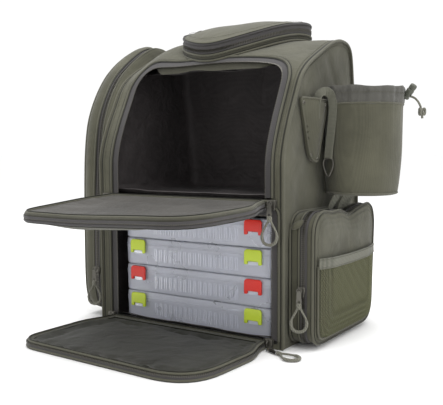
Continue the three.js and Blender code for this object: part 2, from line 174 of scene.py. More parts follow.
# A flat sheet in triangles, with holes, faces counter-clockwise
def cutSheet(outline, holes=(), spacing=7):
    low, high = outline.min(0), outline.max(0)
    rows = np.arange(low[1], high[1], spacing * 0.87)
    columns = np.arange(low[0], high[0], spacing)
    grid = arr([(x + (i % 2) * spacing / 2, y) for i, y in enumerate(rows) for x in columns])
    keep = insideOutline(grid, outline)
    for ring in (outline, *holes):
        keep &= edgeDistance(grid, ring) > spacing * 0.5
    for hole in holes:
        keep &= ~insideOutline(grid, hole)
    points, edges = [], []
    for ring in (outline, *holes):
        first = len(points)
        points += list(ring)
        edges += [(first + i, first + (i + 1) % len(ring)) for i in range(len(ring))]
    points += list(grid[keep])
    found = delaunay_2d_cdt([Vector(p) for p in points], edges, [], 0, 1e-5)
    flat = arr([tuple(p) for p in found[0]])
    faces = arr([list(face) for face in found[2]]).astype(int)
    centres = flat[faces].mean(1)
    wanted = insideOutline(centres, outline)
    for hole in holes:
        wanted &= ~insideOutline(centres, hole)
    a, b, c = flat[faces[:, 0]], flat[faces[:, 1]], flat[faces[:, 2]]
    turn = (b[:, 0] - a[:, 0]) * (c[:, 1] - a[:, 1]) - (b[:, 1] - a[:, 1]) * (c[:, 0] - a[:, 0])
    wanted &= np.abs(turn) > 1e-6
    faces = np.where(turn[:, None] < 0, faces[:, ::-1], faces)[wanted]
    return flat, [tuple(face) for face in faces.tolist()]


# Rings joined in a row; an openRing is a strip whose last point does not meet its first
def loft(rings, closed=False, caps=True, openRing=False):
    rings = np.asarray(rings, float)
    count, size = rings.shape[:2]
    faces = []
    for i in range(count if closed else count - 1):
        for j in range(size - 1 if openRing else size):
            k = (j + 1) % size
            faces.append((i * size + j, i * size + k, (i + 1) % count * size + k, (i + 1) % count * size + j))
    if caps and not closed and not openRing:
        faces.append(tuple(range(size))[::-1])
        faces.append(tuple((count - 1) * size + j for j in range(size)))
    return rings.reshape(-1, 3), faces


def join(*shapes):
    points, faces, start = [], [], 0
    for shapePoints, shapeFaces in shapes:
        points.append(shapePoints)
        faces += [tuple(i + start for i in face) for face in shapeFaces]
        start += len(shapePoints)
    return np.vstack(points), faces


def turned(shape):
    return shape[0], [tuple(face[::-1]) for face in shape[1]]


def ringSection(radius, sides=8):
    angles = np.arange(sides) * 2 * math.pi / sides
    return np.column_stack([np.cos(angles), np.sin(angles)]) * radius


def flatSection(width, thickness):
    w, t = width / 2, thickness / 2
    c = min(t * 0.6, w * 0.3)
    return arr([(w, -t + c), (w, t - c), (w - c, t), (c - w, t),
                (-w, t - c), (-w, c - t), (c - w, -t), (w - c, -t)])


def sweep(path, section, up, closed=False, scale=None):
    path = arr(path)
    along = unit(np.roll(path, -1, 0) - np.roll(path, 1, 0)) if closed else unit(np.gradient(path, axis=0))
    up = np.broadcast_to(arr(up), path.shape)
    side = unit(np.cross(along, up))
    lift = np.cross(side, along)
    section = arr(section)
    size = np.ones(len(path)) if scale is None else arr(scale)
    across = section[None] * size[:, None, None]
    rings = path[:, None] + side[:, None] * across[:, :, :1] + lift[:, None] * across[:, :, 1:]
    return loft(rings, closed)


# A round tube; without an up direction its section is carried along without twisting
def tube(path, radius, up=None, closed=False, sides=8, scale=None):
    path = arr(path)
    if up is None:
        along = unit(np.gradient(path, axis=0))
        lift = np.cross(along[0], (0, 0, 1) if abs(along[0][2]) < 0.9 else (1, 0, 0))
        ups = []
        for direction in along:
            lift = unit(lift - direction * (lift @ direction))
            ups.append(lift)
        up = arr(ups)
    return sweep(path, ringSection(radius, sides), up, closed, scale)


# Small blocks along a path: zip teeth or stitches. size is length, width, height; shift is sideways and up
def blocksAlong(path, up, pitch, size, shift=(0, 0), closed=False):
    path = arr(path)
    both = evenPath(np.hstack([path, np.broadcast_to(arr(up), path.shape)]), pitch, closed)
    spots, lift = both[:, :3], both[:, 3:]
    along = unit(np.roll(spots, -1, 0) - np.roll(spots, 1, 0)) if closed else unit(np.gradient(spots, axis=0))
    side = unit(np.cross(along, lift))
    lift = np.cross(side, along)
    spots = spots + side * shift[0] + lift * shift[1]
    signs = arr([(a, b, c) for a in (-1, 1) for b in (-1, 1) for c in (-1, 1)]) / 2
    offsets = (signs * arr(size))[None]
    points = spots[:, None] + offsets[..., :1] * along[:, None] + offsets[..., 1:2] * side[:, None] \
        + offsets[..., 2:] * lift[:, None]
    quads = [(0, 1, 3, 2), (4, 6, 7, 5), (0, 4, 5, 1), (2, 3, 7, 6), (0, 2, 6, 4), (1, 5, 7, 3)]
    faces = [tuple(i * 8 + k for k in quad) for i in range(len(spots)) for quad in quads]
    return points.reshape(-1, 3), faces


def block(x0, x1, y0, y1, z0, z1):
    path = arr([((x0 + x1) / 2, y, (z0 + z1) / 2) for y in (y0, y1)])
    w, h = (x1 - x0) / 2, (z1 - z0) / 2
    rings = [[(p[0] + a * w, p[1], p[2] + b * h) for a, b in ((-1, -1), (1, -1), (1, 1), (-1, 1))] for p in path]
    return loft(rings)


# A strip that follows an outline at several (height, outward) stations; place puts (a, b, height) in space
def band(outline, stations, place, closed=True):
    away = outwardOf(outline, closed)
    rings = []
    for height, outwards in stations:
        flat = outline + away * outwards
        rings.append(place(flat[:, 0], flat[:, 1], np.full(len(flat), float(height))))
    return loft(np.asarray(rings), openRing=not closed, caps=False)


# The path of one station in space, with the outward direction at each of its points
def bandPath(outline, height, outwards, place, closed=True):
    away = outwardOf(outline, closed)
    flat, far = outline + away * outwards, outline + away * (outwards + 1)
    level = np.full(len(flat), float(height))
    path = place(flat[:, 0], flat[:, 1], level)
    return path, unit(place(far[:, 0], far[:, 1], level) - path)


# A pad over an outline: the height grows with the distance from the edge
def padFace(outline, place, base, rise, reach, spacing=7, folds=0.0, foldSize=45, seed=1.0):
    flat, faces = cutSheet(outline, spacing=spacing)
    depth = edgeDistance(flat, outline)
    dome = np.sin(np.clip(depth / reach, 0, 1) * math.pi / 2)
    height = base + rise * dome + folds * unevenness(flat, foldSize, seed) * smoothStep(depth, 0, reach)
    return place(flat[:, 0], flat[:, 1], height), faces


# Materials


def tint(red, green, blue):
    levels = []
    for value in (red, green, blue):
        level = value / 255
        levels.append(level / 12.92 if level <= 0.04045 else ((level + 0.055) / 1.055) ** 2.4)
    return (*levels, 1)


def newMaterial(name):
    material = bpy.data.materials.new(name)
    material.use_nodes = True
    nodes, links = material.node_tree.nodes, material.node_tree.links
    return material, nodes, links, nodes["Principled BSDF"]


def textureNode(nodes, links, place, kind, scale, **settings):
    node = nodes.new("ShaderNodeTex" + kind)
    links.new(place, node.inputs["Vector"])
    node.inputs["Scale"].default_value = scale
    for key, value in settings.items():
        if hasattr(node, key):
            setattr(node, key, value)
        else:
            node.inputs[key.replace("_", " ").title()].default_value = value
    return node


def mathNode(nodes, links, action, first, second):
    node = nodes.new("ShaderNodeMath")
    node.operation = action
    for socket, value in zip(node.inputs, (first, second)):
        if isinstance(value, (int, float)):
            socket.default_value = value
        else:
            links.new(value, socket)
    return node.outputs[0]


def blendColours(nodes, links, factor, first, second, mode="MIX"):
    node = nodes.new("ShaderNodeMix")
    node.data_type = "RGBA"
    node.blend_type = mode
    for socket, value in ((node.inputs[0], factor), (node.inputs[6], first), (node.inputs[7], second)):
        if isinstance(value, (int, float, tuple)):
            socket.default_value = value
        else:
            links.new(value, socket)
    return node.outputs[2]


def mapRange(nodes, links, value, fromLow, fromHigh, toLow, toHigh):
    node = nodes.new("ShaderNodeMapRange")
    links.new(value, node.inputs["Value"])
    for key, number in (("From Min", fromLow), ("From Max", fromHigh), ("To Min", toLow), ("To Max", toHigh)):
        node.inputs[key].default_value = number
    return node.outputs["Result"]


def addBump(nodes, links, skin, height, strength, depth, below=None):
    bump = nodes.new("ShaderNodeBump")
    bump.inputs["Strength"].default_value = strength
    bump.inputs["Distance"].default_value = depth
    links.new(height, bump.inputs["Height"])
    if below is not None:
        links.new(below, bump.inputs["Normal"])
    links.new(bump.outputs["Normal"], skin.inputs["Normal"])
    return bump.outputs["Normal"]


# Woven cloth: two sets of threads, uneven yarn, faded patches, paler worn edges and small creases
def clothMaterial(name, colour, thread=1.5, rough=0.85, sheen=0.15, patchy=0.22, relief=0.5, creases=0.3,
                  wear=0.25):
    material, nodes, links, skin = newMaterial(name)
    place = nodes.new("ShaderNodeTexCoord").outputs["Object"]
    weave = None
    for direction in "XYZ":
        wave = textureNode(nodes, links, place, "Wave", 0.314 / (thread / 1000), bands_direction=direction,
                           distortion=0.4)
        weave = wave.outputs["Fac"] if weave is None else mathNode(nodes, links, "ADD", weave, wave.outputs["Fac"])
    weave = mathNode(nodes, links, "MULTIPLY", weave, 0.333)
    grain = textureNode(nodes, links, place, "Noise", 1100, detail=3.0).outputs["Fac"]
    patches = textureNode(nodes, links, place, "Noise", 11, detail=4.0, roughness=0.6).outputs["Fac"]
    dark = tuple(c * (1 - patchy) for c in colour[:3]) + (1,)
    light = tuple(min(c * (1 + patchy), 1) for c in colour[:3]) + (1,)
    shade = blendColours(nodes, links, mapRange(nodes, links, patches, 0.3, 0.7, 0, 1), dark, light)
    threadShade = mapRange(nodes, links, mathNode(nodes, links, "ADD", weave, grain), 0.6, 1.4, 0.86, 1.14)
    shade = blendColours(nodes, links, 1.0, shade, threadShade, "MULTIPLY")
    worn = tuple(min(c * 1.7 + 0.015, 1) for c in colour[:3]) + (1,)
    edges = nodes.new("ShaderNodeNewGeometry").outputs["Pointiness"]
    shade = blendColours(nodes, links, mapRange(nodes, links, edges, 0.53, 0.62, 0, wear), shade, worn)
    links.new(shade, skin.inputs["Base Color"])
    links.new(mapRange(nodes, links, grain, 0.3, 0.7, rough - 0.08, rough + 0.08), skin.inputs["Roughness"])
    skin.inputs["Sheen Weight"].default_value = sheen
    skin.inputs["Sheen Roughness"].default_value = 0.5
    skin.inputs["Specular IOR Level"].default_value = 0.25
    soft = textureNode(nodes, links, place, "Noise", 38, detail=3.0, roughness=0.45, distortion=0.6).outputs["Fac"]
    large = addBump(nodes, links, skin, soft, creases, 0.006)
    addBump(nodes, links, skin, mathNode(nodes, links, "ADD", weave, grain), relief, 0.0004, large)
    return material


def plasticMaterial(name, colour, rough=0.35, clear=0.0, speckle=900, scratches=0.15):
    material, nodes, links, skin = newMaterial(name)
    place = nodes.new("ShaderNodeTexCoord").outputs["Object"]
    grain = textureNode(nodes, links, place, "Noise", speckle, detail=2.0).outputs["Fac"]
    haze = textureNode(nodes, links, place, "Noise", 24, detail=3.0).outputs["Fac"]
    dark = tuple(c * 0.86 for c in colour[:3]) + (1,)
    light = tuple(min(c * 1.1, 1) for c in colour[:3]) + (1,)
    links.new(blendColours(nodes, links, haze, dark, light), skin.inputs["Base Color"])
    links.new(mapRange(nodes, links, haze, 0.3, 0.7, rough - 0.06, rough + 0.1), skin.inputs["Roughness"])
    skin.inputs["Transmission Weight"].default_value = clear
    skin.inputs["IOR"].default_value = 1.49
    addBump(nodes, links, skin, grain, scratches, 0.0003)
    return material


def metalMaterial(name, colour, rough=0.38):
    material, nodes, links, skin = newMaterial(name)
    place = nodes.new("ShaderNodeTexCoord").outputs["Object"]
    scuffs = textureNode(nodes, links, place, "Noise", 420, detail=4.0, distortion=1.5).outputs["Fac"]
    worn = tuple(min(c * 2.2, 1) for c in colour[:3]) + (1,)
    edges = nodes.new("ShaderNodeNewGeometry").outputs["Pointiness"]
    links.new(blendColours(nodes, links, mapRange(nodes, links, edges, 0.52, 0.6, 0, 0.8), colour, worn),
              skin.inputs["Base Color"])
    links.new(mapRange(nodes, links, scuffs, 0.3, 0.7, rough - 0.1, rough + 0.15), skin.inputs["Roughness"])
    skin.inputs["Metallic"].default_value = 0.85
    addBump(nodes, links, skin, scuffs, 0.2, 0.0002)
    return material


# Braided or ribbed yarn: slanting bands on top of the cloth's grain
def braidMaterial(name, colour, pitch=2.2, diagonal=True, rough=0.8):
    material, nodes, links, skin = newMaterial(name)
    place = nodes.new("ShaderNodeTexCoord").outputs["Object"]
    first = textureNode(nodes, links, place, "Wave", 0.314 / (pitch / 1000),
                        bands_direction="DIAGONAL" if diagonal else "Z", distortion=1.0)
    second = textureNode(nodes, links, place, "Wave", 0.314 / (pitch / 1000), bands_direction="X", distortion=1.0)
    ribs = mathNode(nodes, links, "ADD", first.outputs["Fac"], second.outputs["Fac"])
    grain = textureNode(nodes, links, place, "Noise", 1500, detail=2.0).outputs["Fac"]
    dark = tuple(c * 0.7 for c in colour[:3]) + (1,)
    light = tuple(min(c * 1.25, 1) for c in colour[:3]) + (1,)
    yarn = mapRange(nodes, links, mathNode(nodes, links, "ADD", ribs, grain), 0.6, 2.2, 0, 1)
    links.new(blendColours(nodes, links, yarn, dark, light), skin.inputs["Base Color"])
    links.new(mapRange(nodes, links, grain, 0.3, 0.7, rough - 0.1, rough + 0.1), skin.inputs["Roughness"])
    skin.inputs["Sheen Weight"].default_value = 0.15
    addBump(nodes, links, skin, ribs, 0.6, 0.0006)
    return material


finish = {
    "olive": clothMaterial("oliveOxford", tint(76, 75, 62)),
    "darkOlive": clothMaterial("darkOliveOxford", tint(62, 61, 51), thread=1.3),
    "welt": clothMaterial("oliveWelt", tint(82, 81, 69), thread=0.9, patchy=0.1, creases=0.05, wear=0.35),
    # Near-black cloth for the strips beside the welts: painted shadow along the piping
    "seam": clothMaterial("paintedSeamShadow", tint(36, 36, 29), thread=1.0, patchy=0.1, creases=0.05, wear=0.05),
    "zipTape": clothMaterial("greyZipTape", tint(60, 58, 58), thread=1.0, rough=0.75, patchy=0.08, creases=0.05),
    "webbing": braidMaterial("oliveWebbing", tint(88, 88, 76), pitch=1.9, diagonal=False),
    "lining": clothMaterial("blackLining", tint(64, 60, 60), thread=1.1, rough=0.55, sheen=0.05, patchy=0.2,
                            creases=0.7, wear=0.1),
    "doorLining": clothMaterial("brownGreyLining", tint(64, 62, 58), thread=1.2, rough=0.6, sheen=0.1,
                                creases=0.6, wear=0.15),
    "floorLining": clothMaterial("darkBrownLining", tint(55, 55, 49), thread=1.2, rough=0.65, sheen=0.1,
                                 creases=0.45, wear=0.15),
    "collar": clothMaterial("greyCollar", tint(74, 73, 68), thread=1.0, rough=0.6, creases=0.6),
    "mesh": braidMaterial("pocketMesh", tint(98, 99, 70), pitch=1.2),
    "clear": plasticMaterial("frostedBoxPlastic", tint(228, 231, 243), rough=0.3, clear=0.4),
    "lime": plasticMaterial("limeLatch", tint(200, 220, 60), rough=0.4),
    "red": plasticMaterial("redLatch", tint(222, 46, 34), rough=0.4),
    "metal": metalMaterial("darkZipMetal", tint(92, 90, 84)),
    "cord": braidMaterial("oliveCord", tint(104, 103, 92), pitch=2.4),
    "plastic": plasticMaterial("darkBucklePlastic", tint(74, 76, 66), rough=0.5),
    "airMesh": clothMaterial("airMesh", tint(54, 55, 48), thread=3.2, relief=1.0, patchy=0.1, creases=0.15),
}
print("materials made")


# Pieces


def addPiece(name, shape, body, material, stands=(), shell=0.0, bevel=0.0, levels=0, crisp=40, ties=None):
    points, faces = shape
    mesh = bpy.data.meshes.new(name)
    mesh.from_pydata([tuple(p) for p in np.asarray(points) / 1000], [], faces)
    work = bmesh.new()
    work.from_mesh(mesh)
    bmesh.ops.remove_doubles(work, verts=work.verts, dist=2e-5)
    work.to_mesh(mesh)
    work.free()
    piece = bpy.data.objects.new(name, mesh)
    scene.collection.objects.link(piece)
    if shell:
        solid = piece.modifiers.new("shell", "SOLIDIFY")
        solid.thickness = shell / 1000
        solid.offset = -1
    if bevel:
        chamfer = piece.modifiers.new("bevel", "BEVEL")
        chamfer.width = bevel / 1000
        chamfer.segments = 2
        chamfer.limit_method = "ANGLE"
    if levels:
        piece.modifiers.new("smooth", "SUBSURF").levels = levels
    if piece.modifiers:
        bakeModifiers(piece)
    piece.data.shade_smooth()
    piece.data.set_sharp_from_angle(angle=math.radians(crisp))
    piece.data.materials.append(finish[material])
    settle(piece, body, stands, ties)
    return piece


def bakeModifiers(piece):
    bpy.context.view_layer.update()
    seen = piece.evaluated_get(bpy.context.evaluated_depsgraph_get())
    mesh = bpy.data.meshes.new_from_object(seen)
    piece.modifiers.clear()
    piece.data = mesh


def settle(piece, body, stands=(), ties=None):
    if ties:
        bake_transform(piece)
    else:
        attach(piece, body)
    if stands:
        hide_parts(*([stands] if isinstance(stands, str) else stands))


# A welt along an outline, with a dark strip under it that shows on both sides: painted shadow along the piping
def addWelt(name, outline, height, outwards, place, body, thick=1.6, material="welt", closed=True, ties=None):
    path, away = bandPath(outline, height, outwards, place, closed)
    addPiece(name, tube(path, thick, up=away, closed=closed), body, material, ties=ties)
    # Dark strip under the welt: painted shadow on both sides of the piping
    seam = sweep(path - away * thick * 0.25, flatSection(thick * 2 + 2.6, 0.5), away, closed)
    addPiece(name + "Seam", seam, body, "seam", ties=ties)


toothSize = {"pitch": 2.7, "length": 1.5, "width": 2.4, "height": 1.5}


def teethRow(path, up, sideShift, closed=False):
    size = (toothSize["length"], toothSize["width"], toothSize["height"])
    return blocksAlong(path, up, toothSize["pitch"], size, (sideShift, 0.2), closed)


# One half of a zip: its tape between two heights on an outline, and the teeth on the tape's second edge
def halfZip(name, outline, heights, outwards, place, body, closed=True, ties=None, flip=False):
    near, far = heights
    tape = band(outline, [(near, outwards), ((near + far) / 2, outwards + 0.3), (far, outwards)], place, closed)
    if flip:
        tape = turned(tape)
    addPiece(name + "Tape", tape, body, "zipTape", shell=0.9, ties=ties)
    path, up = bandPath(outline, far, outwards, place, closed)
    addPiece(name + "Teeth", teethRow(path, up, 0, closed), body, "metal", ties=ties)


def stitchRow(path, up, closed=False, lift=0.3):
    return blocksAlong(path, up, 4.2, (2.8, 0.55, 0.5), (0, lift), closed)


# Drawcord of the bottle bag: it comes out of the collar, through the lock and down to its knot
drawcord = {"radius": 1.6, "lock": (279.5, 62, 362.5), "axis": (0.6, -0.1, 0.75), "exit": (271, 61, 353)}


def makeDrawcord():
    axis = unit(arr(drawcord["axis"]))
    route = [drawcord["exit"], (273.5, 61.5, 354.2), (276, 61.8, 355.3), (279, 62, 355.8), (283, 62, 354.8),
             (288.5, 62, 352), (293, 62, 346.5), (296, 62, 340.5)]
    path = evenPath(finePath(route, 6, 6), 2)
    cord = addPiece("drawcord_line", tube(path, drawcord["radius"], sides=10), "pack", "cord", "drawcord")
    barrel = [(2.6, -12), (4.4, -12), (5.4, -10.6), (5.4, -8.6), (4.7, -8), (4.7, -6.8), (5.4, -6.2), (5.6, 3),
              (4.9, 3.6), (4.9, 5), (5.3, 5.6), (5.2, 10.4), (4.2, 12), (2.6, 12)]
    rings = [arr(drawcord["lock"]) + axis * h + crossRing(axis, r, 20) for r, h in barrel]
    lock = addPiece("cordLockBarrel", loft(rings), "pack", "plastic", "cord_lock", bevel=0.3)
    turns = []
    for t in np.linspace(0, 2 * math.pi, 61)[:-1]:
        turns.append((297.8 + 3.4 * math.sin(t) + 1.6 * math.sin(2 * t),
                      62 + 3.4 * math.cos(t) - 1.6 * math.cos(2 * t), 332.5 + 4.4 * math.sin(3 * t)))
    wrap = tube(arr(turns), 1.8, up=(0, 0, 1), closed=True)
    tail = tube([(296, 62, 340.5), (297.2, 62, 334), (298.4, 62.4, 328), (298.8, 62.6, 322.6)], 1.7)
    knot = addPiece("drawcordKnot", join(wrap, tail), "pack", "cord", "drawcord_knot")


def crossRing(axis, radius, sides):
    first = unit(np.cross(axis, (0, 0, 1) if abs(axis[2]) < 0.9 else (1, 0, 0)))
    second = np.cross(axis, first)
    angles = np.arange(sides) * 2 * math.pi / sides
    return radius * (np.cos(angles)[:, None] * first + np.sin(angles)[:, None] * second)


makeDrawcord()
print("drawcord made")


# Body: one skin from the front's foot over the top to the back's foot, higher in the middle than at its sides
packBody = {"half": 168, "tapeWidth": 10.6, "cloth": 3.0, "stitchLine": 160.0, "seamLine": 164.6}
crownCorners = [(-120, 0), (-120, 120), (-120, 240), (-118, 266), (-112, 292), (-98, 328), (-82, 362), (-71, 388),
                (-62, 407), (-50, 419), (-30, 430), (-4, 441), (30, 450), (60, 454), (86, 451), (104, 436),
                (110, 385), (122, 290), (134, 193), (134, 0)]
sideCorners = [(-120, 0), (-120, 120), (-121, 240), (-122, 262), (-116, 288), (-102, 322), (-87, 350), (-76, 372),
               (-66, 386), (-50, 399), (-31, 410), (-6, 422), (30, 440), (60, 447), (86, 445), (103, 434),
               (110, 385), (122, 290), (134, 193), (134, 0)]
crown, sides = finePath(crownCorners, rounds=14), finePath(sideCorners, rounds=14)
crownLength = np.concatenate([[0], np.cumsum(np.linalg.norm(np.diff(crown, axis=0), axis=1))])
wrapLength = crownLength[-1]


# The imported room's shoulder, to the left of the top pocket
def skinLift(x, z):
    return 15.0 * np.exp(-((x + 116) / 38.0) ** 2) * smoothStep(z, 380, 436)


def bodySkin(x, s):
    x, s = arr(x), arr(s)
    keep = 1 - np.abs(x / packBody["half"]) ** 2.6
    spots = []
    for k in (0, 1):
        low = np.interp(s, crownLength, sides[:, k])
        spots.append(low + (np.interp(s, crownLength, crown[:, k]) - low) * keep)
    return np.column_stack([x, spots[0], spots[1] + skinLift(x, spots[1])])


def onSkin(x, s, height):
    here = bodySkin(x, s)
    half = packBody["half"]
    across = bodySkin(np.clip(x + 1, -half, half), s) - bodySkin(np.clip(x - 1, -half, half), s)
    along = bodySkin(x, np.clip(s + 2, 0, wrapLength)) - bodySkin(x, np.clip(s - 2, 0, wrapLength))
    return here + unit(np.cross(across, along)) * arr(height)[:, None]


def lengthAtHeight(height):
    front = slice(0, int(np.argmax(crown[:, 1])))
    return float(np.interp(height, crown[front, 1], crownLength[front]))


openings = {
    "upper": {"left": 144, "right": 150.6, "low": 207, "high": lengthAtHeight(419), "radius": 42},
    "lower": {"left": 148, "right": 161, "low": 7, "high": 197, "radius": 10},
}


# The opening's edge, counter-clockwise from its lower left corner
def openingEdge(which, inset=0.0):
    spot = openings[which]
    left, right = -spot["left"] + inset, spot["right"] - inset
    low, high, radius = spot["low"], spot["high"] - inset, spot["radius"]
    return softOutline([(left, low), (right, low), (right, high), (left, high)], [2, 2, radius, radius], 5)


# The same edge without its foot, from the lower right corner round to the lower left one
def openingRun(which):
    edge = openingEdge(which)
    low = openings[which]["low"]
    onFoot = edge[:, 1] < low + 1.5
    start = np.where(~onFoot & np.roll(onFoot, 1))[0]
    first = start[np.argmax(edge[start, 0])]
    run = np.roll(edge, -first, 0)
    return run[: int(np.argmax(np.roll(onFoot, -first)))]


# A line over the body at one distance from its middle, with the direction away from the cloth
def lineOverBody(across, s, height):
    line = onSkin(np.full(len(s), across), s, np.full(len(s), height))
    return line, unit(onSkin(np.full(len(s), across), s, np.full(len(s), 2.0)) - line)


def makeBodySkin():
    half = packBody["half"]
    outline = evenPath([(-half, 0), (half, 0), (half, wrapLength), (-half, wrapLength)], 7, closed=True)
    flat, faces = cutSheet(outline, [openingEdge("upper"), openingEdge("lower")], 8)
    calm = smoothStep(half - np.abs(flat[:, 0]), 0, 25)
    puff = unevenness(flat, 60, 3.0) * 2.2 * calm
    points = onSkin(flat[:, 0], flat[:, 1], puff)
    addPiece("bodySkin", (points, faces), "pack", "olive",
             ["front_frame", "top_panel", "back_panel"], shell=packBody["cloth"])
    for side in (-1, 1):
        label = "Left" if side < 0 else "Right"
        s = np.linspace(0, wrapLength, 260)
        path = bodySkin(np.full(len(s), float(side * half)), s) + arr([side * 1.2, 0, 0])
        path[:, 2] = np.maximum(path[:, 2], 2.2)
        seam = tube(path, 2.2, up=(side, 0, 0))
        addPiece("sideSeamWelt" + label, seam, "pack", "welt")
        shade, lift = lineOverBody(side * packBody["seamLine"], s, 0.3)
        shade[:, 2] = np.maximum(shade[:, 2], 1.5)
        addPiece("sideSeamShade" + label, sweep(shade, flatSection(2.2, 0.5), lift), "pack", "seam")
        inner, up = lineOverBody(side * packBody["stitchLine"], s, 0.4)
        addPiece("sideSeamStitches" + label, stitchRow(inner, up), "pack", "welt")


def makeOpenings():
    for which in ("upper", "lower"):
        run = openingRun(which)
        label = which + "Opening"
        path, away = bandPath(run, 0.6, 1.6, onSkin, closed=False)
        up = unit(np.cross(np.gradient(path, axis=0), away))
        addPiece(label + "Welt", tube(path, 1.9, up=up), "pack", "welt")
        # Dark strip under the opening's welt: painted shadow along the piping
        seam = sweep(path, flatSection(6.6, 0.6), np.cross(away, unit(np.gradient(path, axis=0))))
        addPiece(label + "WeltShadowStrip", seam, "pack", "seam")
        path, away = bandPath(run, 0.5, 6.0, onSkin, closed=False)
        up = unit(np.cross(away, np.gradient(path, axis=0)))
        addPiece(label + "Stitches", stitchRow(path, up), "pack", "welt")
        width = packBody["tapeWidth"]
        stations = [(-1.4, 1.0), (-1.0, -width * 0.5), (-1.6, -width)]
        tape = turned(band(run, stations, onSkin, closed=False))
        addPiece(label + "Tape", tape, "pack", "zipTape", shell=0.9)
        path, away = bandPath(run, -1.6, -width, onSkin, closed=False)
        up = unit(np.cross(away, np.gradient(path, axis=0)))
        addPiece(label + "Teeth", teethRow(path, up, 0), "pack", "metal")
    top = openings["upper"]["high"]
    x = np.linspace(-118, 118, 90)
    hang = 18 + 1.6 * np.sin(x / 23.0) + 0.8 * np.sin(x / 9.3 + 1)
    ease = smoothStep(118 - np.abs(x), 0, 30)
    rings = [onSkin(x, np.full(len(x), top - 1.0), np.full(len(x), -3.2)),
             onSkin(x, top - 9.0 * ease - 1, np.full(len(x), -5.5)),
             onSkin(x, top - hang * ease - 1, -9.0 - 0.8 * np.sin(x / 15.0))]
    guard = loft(rings, openRing=True, caps=False)
    addPiece("upperOpeningGuard", guard, "pack", "darkOlive", shell=1.2)


def makeSidePanels():
    half = packBody["half"]
    outline = counterClockwise(evenPath(sides[::-1], 6, closed=True))
    for side in (-1, 1):
        label = "Right" if side > 0 else "Left"
        flat, faces = cutSheet(outline, spacing=8)
        depth = edgeDistance(flat, outline)
        fold = unevenness(flat, 70, 5.0 + side) * 3.0 + unevenness(flat, 28, 9.0 + side) * 0.9
        slant = flat[:, 0] * 0.8 + flat[:, 1] * 0.6 - 268
        crease = 3.2 * np.exp(-(slant / 9.0) ** 2) * smoothStep(flat[:, 1], 330, 400)
        out = half - 1.2 + (np.minimum(fold, 1.2) - crease * 0.8) * smoothStep(depth, 2, 26)
        points = np.column_stack([side * out, flat])
        points[:, 2] += skinLift(side * half, flat[:, 1]) * smoothStep(14 - depth, 0, 14)
        shape = (points, faces) if side > 0 else turned((points, faces))
        addPiece("sidePanel" + label, shape, "pack", "olive",
                 "right_side_panel" if side > 0 else "left_side_panel", shell=3)
        ring = outline - 6.5 * outwardOf(outline)
        path = np.column_stack([np.full(len(ring), side * (half - 0.6)), ring])
        addPiece("sidePanelStitches" + label, stitchRow(path, (side, 0, 0), closed=True), "pack",
                 "welt")


def signedArea(outline):
    x, y = outline.T
    return 0.5 * float(np.sum(x * np.roll(y, -1) - np.roll(x, -1) * y))


def counterClockwise(outline):
    return outline if signedArea(outline) > 0 else outline[::-1]


# A lined room behind an opening: a box that follows the body's outline, open at the front
def makeLining(name, corners, half, seed):
    outline = finePath(evenPath(corners, 10, closed=True), 1, 3, closed=True)
    centre = outline.mean(0)
    ends = [(-half, 14), (-half + 1.5, 7), (-half + 6, 2), (-half + 14, 0)]
    columns = ends + [(x, 0) for x in np.linspace(-half + 26, half - 26, 30)] + [(-x, s) for x, s in ends[::-1]]
    grids = []
    away = outwardOf(outline)
    for x, shrink in columns:
        ring = outline - away * shrink
        grids.append(np.column_stack([np.full(len(ring), float(x)), ring]))
    walls = loft(arr(grids), caps=False)
    caps = []
    for x, side in ((-half, -1), (half, 1)):
        flat, cap = cutSheet(outline - away * 14, spacing=9)
        out = x - side * (1.5 * np.abs(unevenness(flat, 40, seed)) * 4)
        caps.append((np.column_stack([out, flat]), cap))
    points, faces = join(walls, *caps)
    middle = arr([points[list(face)].mean(0) for face in faces])
    front = sides[:80]  # the rising stretch of the side outline, up to the roof
    frontAt = np.interp(middle[:, 2], front[:, 1], front[:, 0])
    keep = [face for face, spot, edge in zip(faces, middle, frontAt) if spot[1] > edge + 11]
    soft = unevenness(points, 55, seed) * 5.0
    towards = arr([0, centre[0], centre[1]]) - points
    towards[:, 0] = 0
    points = points + unit(towards) * np.maximum(soft, -1)[:, None]
    addPiece(name, (points, keep), "pack", "lining", shell=1.2, crisp=60)


def makeInside():
    upperRoom = [(125, 207), (115, 290), (104, 385), (98, 428), (84, 438), (40, 436), (-6, 416), (-50, 394),
                 (-72, 366), (-96, 318), (-113, 262), (-112, 207)]
    makeLining("upperRoomLining", upperRoom, 161, 2.0)
    makeLining("lowerRoomLining", [(127, 6.2), (124, 197), (-112, 197), (-112, 6.2)], 161, 6.0)
    shelf = softOutline([(-161, -116), (161, -116), (161, 126), (-161, 126)], 6, 10)
    flat, faces = cutSheet(shelf, spacing=12)
    sag = -1.2 * np.sin(np.clip(edgeDistance(flat, shelf) / 60, 0, 1) * math.pi / 2)
    points = np.column_stack([flat, 203.5 + sag])
    addPiece("roomDivider", (points, faces), "pack", "lining", "compartment_divider", shell=3)
    base = softOutline([(-165, -118), (165, -118), (165, 132), (-165, 132)], 8, 10)
    flat, faces = cutSheet(base, spacing=14)
    points = np.column_stack([flat, np.full(len(flat), 5.6)])
    addPiece("basePanel", (points, faces), "pack", "darkOlive", "bottom_panel", shell=5)
    edge = evenPath([(-150, -121, 206.5), (-60, -122, 205.6), (20, -122, 205.8), (90, -121.5, 206.2),
                     (150, -121, 206.6)], 6)
    addPiece("doorHingeWelt", tube(edge, 2.0, up=(0, 0, 1)), "pack", "welt")


makeBodySkin()
makeOpenings()
makeSidePanels()
makeInside()
print("body made")


# Left compartment: gusset, zip and a puffy cover
leftReach = 221.6  # how far from the middle the cover's stitches lie
leftCorners = [(-88, 4), (-112, 28), (-112, 120), (-111, 212), (-109, 262), (-106, 293), (-101, 324), (-90, 353),
               (-75, 380), (-56, 406), (-29, 430), (2, 450), (29, 462), (48, 465), (66, 461), (84, 450), (98, 432),
               (104, 385), (115, 290), (126, 193), (126, 24), (106, 4)]


